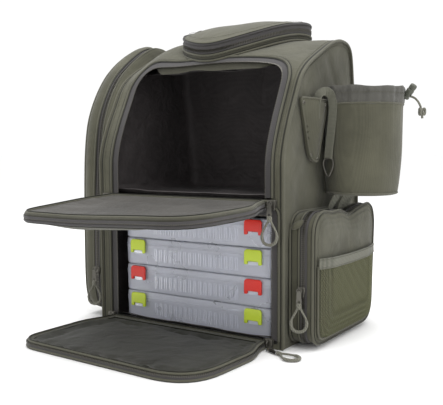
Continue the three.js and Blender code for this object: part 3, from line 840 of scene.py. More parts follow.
# Next to the body the gusset follows the body's own side, lower than the cover; it is narrowest at the zip
def onLeft(y, z, height):
    run = slice(int(np.argmax(sides[:, 0] > -115)), None)
    sideTop = np.interp(y, sides[run, 0], sides[run, 1])
    over = np.maximum(z - sideTop + 2, 0) * (1 - smoothStep(height, 0, 9)) * smoothStep(z, 250, 300)
    waist = np.exp(-((height - 17) / 9.0) ** 2)
    y = y + 5.0 * waist * smoothStep(z, 120, 260) * smoothStep(-y, -60, 40)
    z = z - over - (6.0 + 6.0 * smoothStep(y, 10, 60)) * waist * smoothStep(z, 380, 440)
    return np.column_stack([-168.0 - height, y, z])


def leftOutline():
    return counterClockwise(evenPath(finePath(leftCorners, 6, 8, closed=True), 6, closed=True)[::-1])


def makeLeftCompartment():
    outline = leftOutline()
    walls = [(0.3, -2), (2, -0.6), (5, 0.8), (8, 1.6), (12, 1.6), (15, 1.2), (17, 0.6)]
    addPiece("leftGusset", turned(band(outline, walls, onLeft)), "pack", "olive",
             "left_compartment_wall", shell=2.4)
    halfZip("leftZipBody", outline, (11.6, 16.4), 2.2, onLeft, "pack", flip=True)
    halfZip("leftZipCover", outline, (24.4, 19.4), 2.2, onLeft, "left_compartment_cover")
    cover = [(21, 0.4), (26, 1.4), (34, 2.6), (42, 1.6), (48, -1.8), (51.5, -6.5), (52.6, -12)]
    edge = turned(band(outline, cover, onLeft))
    away = outwardOf(outline)
    face = turned(padFace(outline - away * 12, onLeft, 52.6, 0.4, 40, 8, folds=3.2, foldSize=70, seed=4))
    face[0][:, 0] = np.maximum(face[0][:, 0], 0.1 - leftReach)
    addPiece("leftCover", join(edge, face), "left_compartment_cover", "olive",
             "left_compartment_cover", shell=2.4, crisp=60)
    for name, height, out, owner in (("leftBodyWelt", 1.6, 1.4, "pack"), ("leftZipWeltBody", 10.6, 2.4, "pack"),
                                     ("leftZipWeltCover", 25.2, 2.4, "left_compartment_cover"),
                                     ("leftCoverWelt", 49.5, -2.6, "left_compartment_cover")):
        addWelt(name, outline, height, out, onLeft, owner)
    seam = outline - away * 26
    path = np.column_stack([np.full(len(seam), -leftReach), seam])
    addPiece("leftCoverStitches", stitchRow(path, (-1, 0, 0), closed=True), "left_compartment_cover",
             "welt")


makeLeftCompartment()
print("left compartment made")


# Right pocket: tub, zip, domed cover and a mesh pouch with a webbing hem
rightPocket = {"front": -100, "rear": 107, "low": 8, "high": 188}


def onRight(y, z, height):
    dip = 7.5 * np.exp(-((y - 22) / 34.0) ** 2) - 4.5 * np.exp(-((y - 84) / 30.0) ** 2) + 1.2 * np.sin(y / 9.0)
    drop = dip * smoothStep(z, 120, 190) * smoothStep(height, 0, 30)
    lean = 0.055 * (z - 105) * smoothStep(y, 20, 107)
    return np.column_stack([168.0 + height, y + lean, z - drop])


def rightOutline(inset=0.0):
    p = rightPocket
    return softOutline([(p["front"] + inset, p["low"] + inset), (p["rear"] - inset, p["low"] + inset),
                        (p["rear"] - inset, p["high"] - inset), (p["front"] + inset, p["high"] - inset)],
                       [22, 34, 34, 30], 5)


def makeRightPocket():
    outline = rightOutline()
    walls = [(0.3, 0), (3, 1.2), (9, 2.0), (17, 1.4), (21, 0.6)]
    addPiece("rightPocketTub", band(outline, walls, onRight), "pack", "olive", "right_pocket_wall",
             shell=2.4)
    halfZip("rightZipBody", outline, (16.2, 20.4), 2.2, onRight, "pack")
    halfZip("rightZipCover", outline, (27.6, 23.4), 2.2, onRight, "right_pocket_cover", flip=True)
    cover = [(25, 0.4), (30, 1.2), (34, 1.4), (37.5, 0.2), (38.6, -2.4)]
    inner = rightOutline(2.4)
    edge = band(outline, cover, onRight)
    face = padFace(inner, onRight, 38.2, 4.4, 34, 7, folds=2.2, foldSize=48, seed=7)
    addPiece("rightPocketCover", join(edge, face), "right_pocket_cover", "olive",
             "right_pocket_cover", shell=2.2, crisp=60)
    for name, height, out, owner, thick in (("rightBodyWelt", 1.4, 2.2, "pack", 1.6),
                                            ("rightZipWeltBody", 15.4, 2.6, "pack", 1.3),
                                            ("rightRimWelt", 36.6, 2.0, "right_pocket_cover", 2.1)):
        addWelt(name, outline, height, out, onRight, owner, thick)
    stitched = rightOutline(7)
    path, _ = bandPath(stitched, 40.4, 0, onRight)
    addPiece("rightCoverStitches", stitchRow(path, (1, 0, 0), closed=True), "right_pocket_cover",
             "welt")
    makeMeshPouch()
    ear = tube([(171, -101, 168), (178, -104, 172), (184, -101, 176), (187, -96, 181)], 5.5, sides=12,
               scale=[0.4, 1.0, 0.9, 0.3])
    addPiece("rightPocketEar", ear, "pack", "olive", levels=1)


pouch = {"front": -94, "rear": 100, "low": 14, "high": 122, "cell": 5.4, "wire": 1.25}


def makeMeshPouch():
    front, rear, low, high = (pouch[key] for key in ("front", "rear", "low", "high"))
    outline = softOutline([(front, low), (rear, low), (rear, high), (front, high)], [18, 28, 3, 3], 5)

    def bulge(y, z):
        depth = edgeDistance(np.column_stack([y, z]), outline)
        side = np.minimum(y - front, rear - y)
        full = np.sin(np.clip(side / 40, 0, 1) * math.pi / 2) * np.sin(np.clip((z - 10) / 46, 0, 1) * math.pi / 2)
        return 42.4 + 5.6 * full + 0.4 * np.clip(depth / 6, 0, 1)

    cell = pouch["cell"]
    rows = (int((high - low) / cell) + 1) * 2
    columns = int((rear - front) / cell) + 1
    spots = arr([(front + j * cell + (i % 2) * cell / 2, low + i * cell * 0.5)
                 for i in range(rows) for j in range(columns)])
    index = np.arange(len(spots)).reshape(rows, columns)
    inside = insideOutline(spots, outline)
    faces = []
    for i in range(rows - 2):
        shift = i % 2
        for j in range(1 - shift, columns - 1):
            quad = (index[i, j], index[i + 1, j + shift], index[i + 2, j], index[i + 1, j - 1 + shift])
            if all(inside[list(quad)]):
                faces.append(tuple(int(k) for k in quad))
    points = onRight(spots[:, 0], spots[:, 1], bulge(spots[:, 0], spots[:, 1]))
    mesh = bpy.data.meshes.new("meshNet")
    mesh.from_pydata([tuple(p / 1000) for p in points], [], faces)
    work = bmesh.new()
    work.from_mesh(mesh)
    loose = [v for v in work.verts if not v.link_faces]
    bmesh.ops.delete(work, geom=loose, context="VERTS")
    work.to_mesh(mesh)
    work.free()
    net = bpy.data.objects.new("meshPouchNet", mesh)
    scene.collection.objects.link(net)
    wire = net.modifiers.new("wire", "WIREFRAME")
    wire.thickness = pouch["wire"] / 1000
    wire.use_even_offset = False
    bakeModifiers(net)
    net.data.materials.append(finish["mesh"])
    settle(net, "right_pocket_cover", "mesh_pouch")
    y = np.linspace(front - 1, rear + 1, 50)
    z = high - 1 - 2.5 * np.sin((y - front) / (rear - front) * math.pi)
    hem = onRight(y, z, bulge(y, np.full(len(y), 110.0)) + 0.3)
    addPiece("meshPouchHem", sweep(hem, flatSection(15, 1.6), (1, 0, 0)), "right_pocket_cover",
             "webbing")
    for shift in (-5.5, 5.5):
        row = hem + arr([1.0, 0, shift])
        addPiece("meshHemStitches" + ("Low" if shift < 0 else "High"), stitchRow(row, (1, 0, 0)),
                 "right_pocket_cover", "welt")
    edge = outline[outline[:, 1] < 119]
    start = int(np.argmax(np.linalg.norm(np.diff(np.vstack([edge, edge[:1]]), axis=0), axis=1))) + 1
    edge = np.roll(edge, -start, 0)
    path, _ = bandPath(edge, 41, 0.5, onRight, closed=False)
    addPiece("meshPouchWelt", tube(path, 1.8, up=(1, 0, 0)), "right_pocket_cover", "welt")


makeRightPocket()
print("right pocket made")


# Top pocket: a D-shaped gusset with a zip, and a domed lid
topPocket = {"half": 101, "front": -54, "rear": 100}


def topLevel(x, y):
    top = slice(int(np.argmin(np.abs(crownLength - lengthAtHeight(400)))), None)
    ys, zs = crown[top, 0], crown[top, 1]
    order = np.argsort(ys)
    keep = ys[order] < 104
    z = np.interp(y, ys[order][keep], zs[order][keep])
    half = packBody["half"]
    return z - 8 * np.abs(np.clip(x, -half, half) / half) ** 2.6 + skinLift(x, z) * smoothStep(-x, 92, 110)


def onTop(x, y, height):
    lift = 3.5 * smoothStep(y, 40, 105) * smoothStep(height, 5, 25)
    return np.column_stack([x, y, topLevel(x, y) + height * 0.93 - 1.5 * smoothStep(height, 4, 20) + lift])


def topOutline(inset=0.0):
    half, front, rear = topPocket["half"] - inset, topPocket["front"] + inset, topPocket["rear"] - inset
    angles = np.linspace(math.pi, 2 * math.pi, 40)
    curve = [(half * math.cos(a), 42 + (42 - front) * math.sin(a)) for a in angles]
    back = [(half, rear - 22), (half - 3, rear - 8), (half - 12, rear), (12 - half, rear), (3 - half, rear - 8),
            (-half, rear - 22)]
    outline = evenPath(finePath(curve + back, 2, 4, closed=True), 5, closed=True)
    x, y = outline.T
    outline[:, 0] = x * (0.95 + 0.1 * smoothStep(y, 30, 90) + 0.04 * smoothStep(x, 0, 90))
    return outline


def makeTopPocket():
    outline = topOutline()
    walls = [(0.2, 0), (3, 0.6), (8, 0.8), (14, 0.2), (18, -0.4)]
    addPiece("topPocketWall", band(outline, walls, onTop), "pack", "darkOlive", "top_pocket_wall",
             shell=2.2)
    halfZip("topZipBody", outline, (12.5, 18.6), 0.9, onTop, "pack")
    halfZip("topZipLid", outline, (27.6, 21.2), 0.9, onTop, "top_pocket_lid", flip=True)
    lid = [(22, -0.6), (26, 0), (29.5, 0), (31.5, -1.4), (32.2, -3.5)]
    edge = band(outline, lid, onTop)
    face = padFace(topOutline(3.2), onTop, 31.8, 6.4, 52, 7, folds=1.8, foldSize=60, seed=2)
    addPiece("topPocketLid", join(edge, face), "top_pocket_lid", "olive", "top_pocket_lid",
             shell=2.2, crisp=60)
    for name, height, out, owner, material in (("topPocketFootWelt", 1.8, 1.0, "pack", "welt"),
                                               ("topZipWeltBody", 11.6, 1.2, "pack", "welt"),
                                               ("topLidRim", 29.8, 0.9, "top_pocket_lid", "zipTape")):
        addWelt(name, outline, height, out, onTop, owner, 1.7, material)
    path, _ = bandPath(topOutline(8), 34.9, 0, onTop)
    addPiece("topLidStitches", stitchRow(path, (0, 0, 1), closed=True), "top_pocket_lid", "welt")


makeTopPocket()
print("top pocket made")


# Bottle bag: a soft tapered tub, a gathered collar with a cord channel
bottleBag = {"x": 218.5, "y": 34, "flat": 168.9, "low": 210, "seam": 343, "lowRadius": 52.5, "highRadius": 57.4}


def bagRings(stations, seed, folds=0.8, sides=120):
    angles = np.arange(sides) * 2 * math.pi / sides
    rings = []
    for radius, z, wave in stations:
        uneven = arr([noise.noise(Vector((math.cos(a) * 1.8 + seed, math.sin(a) * 1.8, z / 60))) for a in angles])
        r = radius + uneven * folds * 2.2 + wave * np.sin(angles * 13 + seed) + wave * 0.6 * np.sin(angles * 29)
        x = np.maximum(bottleBag["x"] + r * np.cos(angles), bottleBag["flat"])
        rings.append(np.column_stack([x, bottleBag["y"] + r * np.sin(angles), np.full(sides, float(z))]))
    return arr(rings)


def makeBottleBag():
    b = bottleBag
    stations = [(2, 211.5, 0), (25, 210.6, 0), (45, 211, 0), (50.5, 212.4, 0), (52.6, 216, 0)]
    for z in np.linspace(224, 336, 14):
        t = (z - b["low"]) / (b["seam"] - b["low"])
        stations.append((b["lowRadius"] + (b["highRadius"] - b["lowRadius"]) * t + 1.4 * math.sin(t * math.pi),
                         z, 0.25 * t))
    stations.append((b["highRadius"] + 0.2, 343.5, 0.5))
    rings = bagRings(stations, 1.3, folds=0.7)
    rings[:4, :, 2] -= 0.6
    points, faces = loft(rings, caps=False)
    faces.append(tuple(range(120))[::-1])
    addPiece("bottleBagTub", (points, faces), "pack", "olive", "bottle_bag", shell=2.0, crisp=50)
    collar = [(57.2, 341.0, 0.4), (58.4, 346, 0.8), (58.8, 352, 1.0), (58.6, 357, 1.1), (59.2, 362, 1.2),
              (59.4, 366, 1.2), (58.4, 369.4, 1.1), (56.4, 369.0, 1.1), (55.8, 365, 1.0)]
    rings = bagRings(collar, 1.3, folds=1.0)
    angles = np.arange(120) * 2 * math.pi / 120
    lift = 2.2 * np.sin(angles * 3 + 0.8) + 1.1 * np.sin(angles * 8)
    rings[3:, :, 2] += (lift * 0.6)[None] - 1.0
    points, faces = loft(rings, caps=False)
    addPiece("bottleBagCollar", (points, faces), "pack", "collar", "bottle_bag_collar", shell=1.2)
    for name, radius, z, thick in (("bottleBagSeam", 57.8, 343.6, 1.3), ("bottleBagFootSeam", 52.2, 214, 1.4)):
        ring = bagRings([(radius, z, 0.3)], 1.3, folds=0.7)[0]
        addPiece(name, tube(ring, thick, up=(0, 0, 1), closed=True), "pack", "welt")
    ring = bagRings([(58.9, 358.5, 1.1)], 1.3, folds=1.0)[0]
    addPiece("collarStitches", stitchRow(ring, unit(ring - arr([b["x"], b["y"], 358.5])), closed=True, lift=0.7),
             "pack", "welt")
    seamAngle = math.radians(-152)
    seam = []
    for z in np.linspace(212, 342, 40):
        t = (z - 207) / 136
        r = 53.5 + 3.5 * t + 1.4 * math.sin(t * math.pi) + 0.5
        seam.append((b["x"] + r * math.cos(seamAngle), b["y"] + r * math.sin(seamAngle), z))
    addPiece("bottleBagSideSeam", tube(seam, 1.2), "pack", "darkOlive")
    for number, y in enumerate((-8, 26, 44)):
        route = [(196 + number * 2, y + 6, 214), (192, y + 3, 205), (186, y, 192), (184, y, 183)]
        stay = evenPath(finePath(route, 4, 4), 4)
        addPiece("bagStay%d" % (number + 1), sweep(stay, flatSection(14, 1.8), (1, 0, 0.4)), "pack",
                 "webbing")
    eyelet = arr([269.6, 60.6, 352.4])
    axis = unit(arr([0.88, 0.47, 0.1]))
    rings = [eyelet + axis * h + crossRing(axis, r, 16) for r, h in ((2.2, -2), (4.2, -1), (4.4, 1), (3.2, 2),
                                                                     (2.2, 1.2))]
    addPiece("cordEyelet", loft(rings), "pack", "metal")


makeBottleBag()
print("bottle bag made")


# Plier sheath with its strap and ring
sheath = {"corners": [(-77, 351), (-50, 264), (-28, 258), (-13, 349)]}


def makeSheath():
    outline = counterClockwise(softOutline(sheath["corners"][::-1], [5, 12, 12, 5], 4))

    def onSheath(y, z, height):
        lean = (0.3 + 0.7 * smoothStep(y, -76, -34)) * (0.55 + 0.45 * smoothStep(z, 262, 350))
        return np.column_stack([168.6 + height * lean, y, z])

    walls = [(0.2, 0), (5, 0.8), (10, 0.6), (13, -0.8)]
    side = band(outline, walls, onSheath)
    face = padFace(outline - outwardOf(outline) * 0.8, onSheath, 13, 2.6, 14, 5, folds=1.6, foldSize=24, seed=3)
    points, faces = join(side, face)
    middle = arr([points[list(f)].mean(0) for f in faces])
    topAt = np.interp(middle[:, 1], [-77, -13], [351, 349]) - 1.2
    inMouth = 168.6 + 12 * (0.3 + 0.7 * smoothStep(middle[:, 1], -76, -34))
    overMouth = (middle[:, 2] > topAt) & (middle[:, 0] < inMouth)
    keep = [face for face, cut in zip(faces, overMouth) if not cut]
    addPiece("plierSheath", (points, keep), "pack", "olive", "plier_sheath", shell=1.8, crisp=50)
    path, _ = bandPath(outline, 13.2, 0.2, onSheath)
    addPiece("sheathWelt", tube(path, 1.4, up=(1, 0, 0), closed=True), "pack", "welt")
    for number, (y, z) in enumerate(((-70, 344), (-19, 342), (-49, 270), (-32, 265))):
        spot = onSheath(arr([y]), arr([z]), arr([14.6]))[0]
        rings = [spot + arr([h, 0, 0]) + crossRing(arr([1.0, 0, 0]), r, 16)
                 for r, h in ((2.6, -2), (2.6, 0), (2.1, 0.8), (1.0, 1.1))]
        addPiece("sheathRivet%d" % (number + 1), loft(rings), "pack", "metal")
    route = [(176, -38, 322), (176.5, -38, 346), (179, -34.5, 358), (187, -28.5, 362.5), (194.5, -22.8, 356),
             (196, -21.6, 335), (192, -21.2, 300), (188.2, -20, 272), (188, -20, 264)]
    path = evenPath(finePath(route, 8, 10), 3)
    addPiece("clipStrap", sweep(path, flatSection(13, 2.2), (0, -1, 0.2)), "pack", "webbing",
             "clip_strap")
    loop = [(188 + a, -20, 252 + b) for a, b in ((0, 13), (7, 11.5), (8, 4), (6, -4), (2.2, -12), (0, -14),
                                                 (-2.2, -12), (-6, -4), (-8, 4), (-7, 11.5))]
    path = evenPath(finePath(loop, 6, 4, closed=True), 1.5, closed=True)
    addPiece("clipRing", tube(path, 1.5, up=(0, 1, 0), closed=True), "clip_ring", "metal", "clip_ring")


makeSheath()
print("sheath made")


# Doors. A door's plan is (x, y) with y below zero away from the hinge
doorPlan = {"half": 156, "hingeHalf": 142, "reachLeft": 184, "reachRight": 192}
upperHinge = {"y": -121.5, "z": 206.0, "droop": math.radians(5)}


def doorOutline(inset=0.0):
    half, hinge, near = doorPlan["half"] - inset, doorPlan["hingeHalf"] - inset, 1 + inset * 0.3
    left, right = -doorPlan["reachLeft"] + inset, -doorPlan["reachRight"] + inset
    corners = [(-hinge, -near), (-hinge - 2, -24), (-half, -56), (-half - 1, left), (half - 5, right),
               (half, -56), (hinge + 2, -24), (hinge, -near)]
    return softOutline(corners, [3, 12, 16, 34, 62, 16, 12, 3], 5)


def onUpperDoor(x, y, height):
    c, s = math.cos(upperHinge["droop"]), math.sin(upperHinge["droop"])
    h = height + 6.0 * smoothStep(-y, 40, 190) * smoothStep(x, -70, 120)
    return np.column_stack([x, upperHinge["y"] + y * c - h * s, upperHinge["z"] + y * s + h * c])


doorBend = {"bodies": ("upper_door", "upper_door_flap"), "start": (0, -0.168, 0.2019), "end": (0, -0.195, 0.1996)}


def makeUpperDoor():
    outline = doorOutline()
    away = outwardOf(outline)
    rim = [(-11.5, -5), (-11.2, -2), (-9.4, -0.2), (-7.4, 0), (-6.6, -1.6), (-5.8, -1.6), (-5, 0), (-2.4, 0.8),
           (0, 0.2), (1.0, -1.6), (0.6, -5)]
    addPiece("upperDoorRim", band(outline, rim, onUpperDoor), "upper_door", "darkOlive",
             ["upper_door", "upper_door_flap"], shell=1.6, ties=doorBend)
    run = doorRun(outline)
    halfZip("upperDoorZip", run, (-2.6, -6.2), 0.9, onUpperDoor, "upper_door", closed=False, ties=doorBend)
    for name, height, out, material in (("upperDoorTopWelt", 0.9, -2.6, "welt"),
                                        ("upperDoorLowWelt", -9.4, 0.4, "zipTape")):
        addWelt(name, outline, height, out, onUpperDoor, "upper_door", 1.9, material, ties=doorBend)
    flat, faces = cutSheet(outline - away * 4.5, spacing=6)
    depth = edgeDistance(flat, outline - away * 4.5)
    x, y = flat.T
    sag = -3.5 * smoothStep(depth, 0, 40)
    folds = unevenness(np.column_stack([x * 0.35, y]), 16, 4.0) * 3.0 + unevenness(flat, 40, 8.0) * 3.0
    across = 3.4 * np.exp(-((y + 64 + x * 0.10) / 8.0) ** 2) - 2.6 * np.exp(-((y + 84 + x * 0.06) / 7.0) ** 2)
    height = 0.6 + sag + (folds + across) * smoothStep(depth, 0, 18)
    addPiece("upperDoorLining", (onUpperDoor(x, y, height), faces), "upper_door", "doorLining", shell=1.0,
             ties=doorBend)
    flat, faces = cutSheet(outline - away * 2.5, spacing=6)
    depth = edgeDistance(flat, outline - away * 2.5)
    x, y = flat.T
    deep = 13 * (1 - np.clip(np.abs(x + 44) / 172, 0, 1) ** 2.2) * smoothStep(-y, -10, 90)
    drop = deep * np.sin(np.clip(depth / 44, 0, 1) * math.pi / 2) + unevenness(flat, 55, 5.0) * 2.4 * smoothStep(
        depth, 0, 30)
    points = onUpperDoor(x, y, -11.2 - drop)
    addPiece("upperDoorBelly", turned((points, faces)), "upper_door", "olive", shell=1.6,
             ties=doorBend)


# The three zipped sides of a door, without its hinge side
def doorRun(outline):
    onHinge = outline[:, 1] > -6
    start = np.where(~onHinge & np.roll(onHinge, 1))[0][0]
    run = np.roll(outline, -start, 0)
    return run[: int((~onHinge).sum())]


def onLowerDoor(x, y, height):
    return np.column_stack([x, -121.0 + y, height])


def makeLowerDoor():
    outline = doorOutline()
    away = outwardOf(outline)
    rim = [(0.8, -4), (1.2, -1), (3.5, 0.5), (7.5, 0.3), (9.8, -1.6), (10.4, -5), (10.0, -9)]
    addPiece("lowerDoorRim", band(outline, rim, onLowerDoor), "lower_door", "darkOlive",
             "lower_door", shell=0.8)
    run = doorRun(outline)
    halfZip("lowerDoorZip", run, (2.6, 7.4), 1.2, onLowerDoor, "lower_door", closed=False)
    for name, height, out in (("lowerDoorTopWelt", 9.8, -1.2), ("lowerDoorLowWelt", 2.0, 0.8)):
        addWelt(name, outline, height, out, onLowerDoor, "lower_door", 1.7)
    inner = outline - away * 8.5
    flat, faces = cutSheet(inner, spacing=6)
    depth = edgeDistance(flat, inner)
    x, y = flat.T
    side = np.minimum(141 - (x - 5), 141 + (x - 5))
    limit = np.where((side > 0) & (-y < 172), 8.2, 12.0)
    border = -2.2 * np.exp(-((depth - 12) / 3.0) ** 2)
    folds = unevenness(np.column_stack([x, y * 0.5]), 17, 6.0) * 4.4 * np.exp(-(depth / 26.0) ** 2)
    height = 9.4 - 2.4 * smoothStep(depth, 0, 10) + border + 1.4 * smoothStep(depth, 16, 60) + folds
    height = height + unevenness(flat, 60, 2.0) * 1.2
    height = np.clip(height, 3.0, limit)
    addPiece("lowerDoorLining", (onLowerDoor(x, y, height), faces), "lower_door", "floorLining",
             shell=1.0)
    flat, faces = cutSheet(outline - away * 2, spacing=12)
    points = onLowerDoor(flat[:, 0], flat[:, 1], np.full(len(flat), 0.6))
    addPiece("lowerDoorOuter", turned((points, faces)), "lower_door", "olive", shell=0.5)


makeUpperDoor()
makeLowerDoor()
print("doors made")


# Tackle boxes: ribbed trays, lids with a lip, coloured latches
tackleBox = {"x0": -131.5, "x1": 143.5, "y0": -106, "y1": 79, "pitch": 43, "floor": 9, "tray": 31.5, "ribs": 17,
             "corner": 9, "ringPoints": 160}


# The outline of a box, drawn in by an inset, with the same number of points at every inset
def boxRing(inset, z):
    b = tackleBox
    count = b["ringPoints"]
    ring = softOutline([(b["x0"] + inset, b["y0"] + inset), (b["x1"] - inset, b["y0"] + inset),
                        (b["x1"] - inset, b["y1"] - inset), (b["x0"] + inset, b["y1"] - inset)], b["corner"], 6)
    shares = np.linspace(0, 1, count + 1)[:-1]
    ring = np.vstack([ring, ring[:1]])
    along = np.concatenate([[0], np.cumsum(np.linalg.norm(np.diff(ring, axis=0), axis=1))])
    ring = np.column_stack([np.interp(shares * along[-1], along, ring[:, k]) for k in (0, 1)])
    return np.column_stack([ring, np.full(count, float(z))])


def makeTackleBox(number):
    b = tackleBox
    floor = b["floor"] + (4 - number) * b["pitch"]
    lip = floor + b["tray"]
    owner = "tackle_box_%d" % number
    tray = loft([boxRing(2.4, floor + 0.1), boxRing(1.2, floor + 1), boxRing(0.8, floor + 3), boxRing(0.3, lip - 5),
                 boxRing(0.1, lip - 4.6), boxRing(0.1, lip), boxRing(2.2, lip), boxRing(2.4, floor + 3),
                 boxRing(5.0, floor + 2)])
    ribs = []
    for x in np.linspace(b["x0"] + 62, b["x1"] - 62, b["ribs"]):
        ribs.append(block(x - 0.8, x + 0.8, b["y0"] - 0.1, b["y0"] + 5.5, floor + 7, lip - 5))
        ribs.append(block(x + 2.6, x + 4.2, b["y0"] - 0.1, b["y0"] + 5.5, floor + 7, lip - 5))
    middle = b["y0"] + 92.5
    ribs.append(block(b["x0"] + 2.4, b["x1"] - 2.4, middle - 1, middle + 1, floor + 2, lip - 1))
    for x in np.linspace(b["x0"] + 46, b["x1"] - 46, 5):
        ribs.append(block(x - 0.7, x + 0.7, b["y0"] + 2.4, b["y0"] + 91.5, floor + 2, lip - 2))
    for x in (b["x0"] + 30, b["x1"] - 30):
        ribs.append(block(x - 8, x + 8, b["y0"] - 2.6, b["y0"] + 0.5, lip - 13.5, lip - 8.5))
        ribs.append(block(x - 7, x + 7, b["y0"] - 3.4, b["y0"], lip - 9.8, lip - 8.5))
    addPiece("trayShell%d" % number, join(tray, *ribs), owner, "clear", "box_tray_%d" % number,
             crisp=35)
    low, high = lip + 0.3, floor + b["pitch"] - 0.5
    lid = loft([boxRing(0.0, low), boxRing(-0.1, low + 1.6), boxRing(0.4, low + 2.2), boxRing(0.6, high - 1.6),
                boxRing(1.6, high - 0.3), boxRing(3.6, high), boxRing(6.0, high), boxRing(7.2, high - 1.2),
                boxRing(9.0, high - 1.4), boxRing(9.0, high - 3.0), boxRing(3.0, high - 3.0),
                boxRing(2.2, high - 4), boxRing(2.0, low)], closed=True)
    points, faces = lid
    count = b["ringPoints"]
    plateTop, plateUnder = 8 * count, 9 * count  # first points of the two rings that the lid's plate fills
    faces = [f for f in faces if not (min(f) >= plateTop and max(f) < plateUnder + count)]
    faces.append(tuple(range(plateTop, plateTop + count)))
    faces.append(tuple(range(plateUnder, plateUnder + count))[::-1])
    ears = [block(b["x0"] - 0.1, b["x0"] + 5, b["y0"] + 10, b["y0"] + 22, low - 2, low + 4),
            block(b["x1"] - 5, b["x1"] + 0.1, b["y0"] + 10, b["y0"] + 22, low - 2, low + 4)]
    addPiece("lidShell%d" % number, join((points, faces), *ears), owner, "clear",
             "box_lid_%d" % number, crisp=35)
    for side, centre in (("left", b["x0"] + 30), ("right", b["x1"] - 30)):
        makeLatch(number, side, centre, floor + b["pitch"] - 2.4)


def makeLatch(number, side, centre, top):
    w = 14.5
    outline = arr([(-w, -22), (-w + 5.4, -22), (-w + 5.4, -17), (w - 5.4, -17), (w - 5.4, -22), (w, -22), (w, -3),
                   (w - 3, 0), (3 - w, 0), (-w, -3)])
    outline = evenPath(outline, 2.2, closed=True)
    flat, faces = cutSheet(outline, spacing=3)
    bow = 1.0 * np.cos(flat[:, 1] / 22 * math.pi * 0.9 + 1.3) + 0.5 * (flat[:, 1] < -15)
    front = np.column_stack([centre + flat[:, 0], -109.6 - np.clip(bow, 0, 1.2), top + flat[:, 1]])
    name = "box_latch_%s_%d" % (side, number)
    colour = "red" if number % 2 else "lime"
    addPiece("latch" + side.title() + str(number), (front, faces), name, colour, name,
             shell=2.6, bevel=0.4, crisp=50)


for boxNumber in (1, 2, 3, 4):
    makeTackleBox(boxNumber)
print("tackle boxes made")


# Harness on the back: padding, shoulder straps, webbing, handle
padCloth = {"voxel": 5.0, "pressure": 4.0, "frames": 20, "edge": 0.35, "fill": 0.6}


# Swells a pad with a cloth simulation; no point may move further than the cap
def inflate(piece, cap):
    mesh = piece.modifiers.new("even", "REMESH")
    mesh.mode = "VOXEL"
    mesh.voxel_size = padCloth["voxel"] / 1000
    bakeModifiers(piece)
    before = arr([v.co for v in piece.data.vertices])
    cloth = piece.modifiers.new("cloth", "CLOTH")
    settings = cloth.settings
    settings.use_pressure = True
    settings.uniform_pressure_force = padCloth["pressure"]
    settings.effector_weights.gravity = 0
    settings.quality = 5
    cloth.point_cache.frame_start = 1
    cloth.point_cache.frame_end = padCloth["frames"]
    for step in range(1, padCloth["frames"] + 1):
        scene.frame_set(step)
    seen = piece.evaluated_get(bpy.context.evaluated_depsgraph_get())
    after = arr([v.co for v in seen.data.vertices])
    scene.frame_set(1)
    piece.modifiers.remove(cloth)
    move = after - before
    reach = np.linalg.norm(move, axis=1, keepdims=True)
    move = move * np.minimum(1, cap / 1000 / np.maximum(reach, 1e-9))
    for vertex, spot in zip(piece.data.vertices, before + move):
        vertex.co = spot
    piece.modifiers.new("smooth", "SUBSURF").levels = 1
    bakeModifiers(piece)
    piece.data.shade_smooth()


def makePad(name, outline, place, thickness, stands, cap):
    edge = padCloth["edge"]
    flat, faces = cutSheet(outline, spacing=9)
    depth = edgeDistance(flat, outline)
    swell = thickness / 2 * (edge + (1 - edge) * np.sqrt(np.clip(depth / (thickness * 1.2), 0, 1)))
    front = place(flat[:, 0], flat[:, 1], swell)
    back = place(flat[:, 0], flat[:, 1], -swell * 0.8)
    count = len(flat)
    onEdge = np.where(depth < 1e-3)[0]
    order = [int(onEdge[np.argmin(np.linalg.norm(flat[onEdge] - p, axis=1))]) for p in outline]
    rim = []
    for i, a in enumerate(order):
        b = order[(i + 1) % len(order)]
        if a != b:
            rim.append((a, a + count, b + count, b))
    shape = (np.vstack([front, back]), faces + [tuple(i + count for i in f[::-1]) for f in faces] + rim)
    piece = addPiece(name, shape, "pack", "airMesh", stands, crisp=180)
    inflate(piece, cap)


def backLevel(z):
    return np.interp(z, [0, 193, 290, 385, 436], [134, 134, 122, 110, 104])


def onBack(x, z, height):
    return np.column_stack([-x, backLevel(z) + 7.6 + height, z])


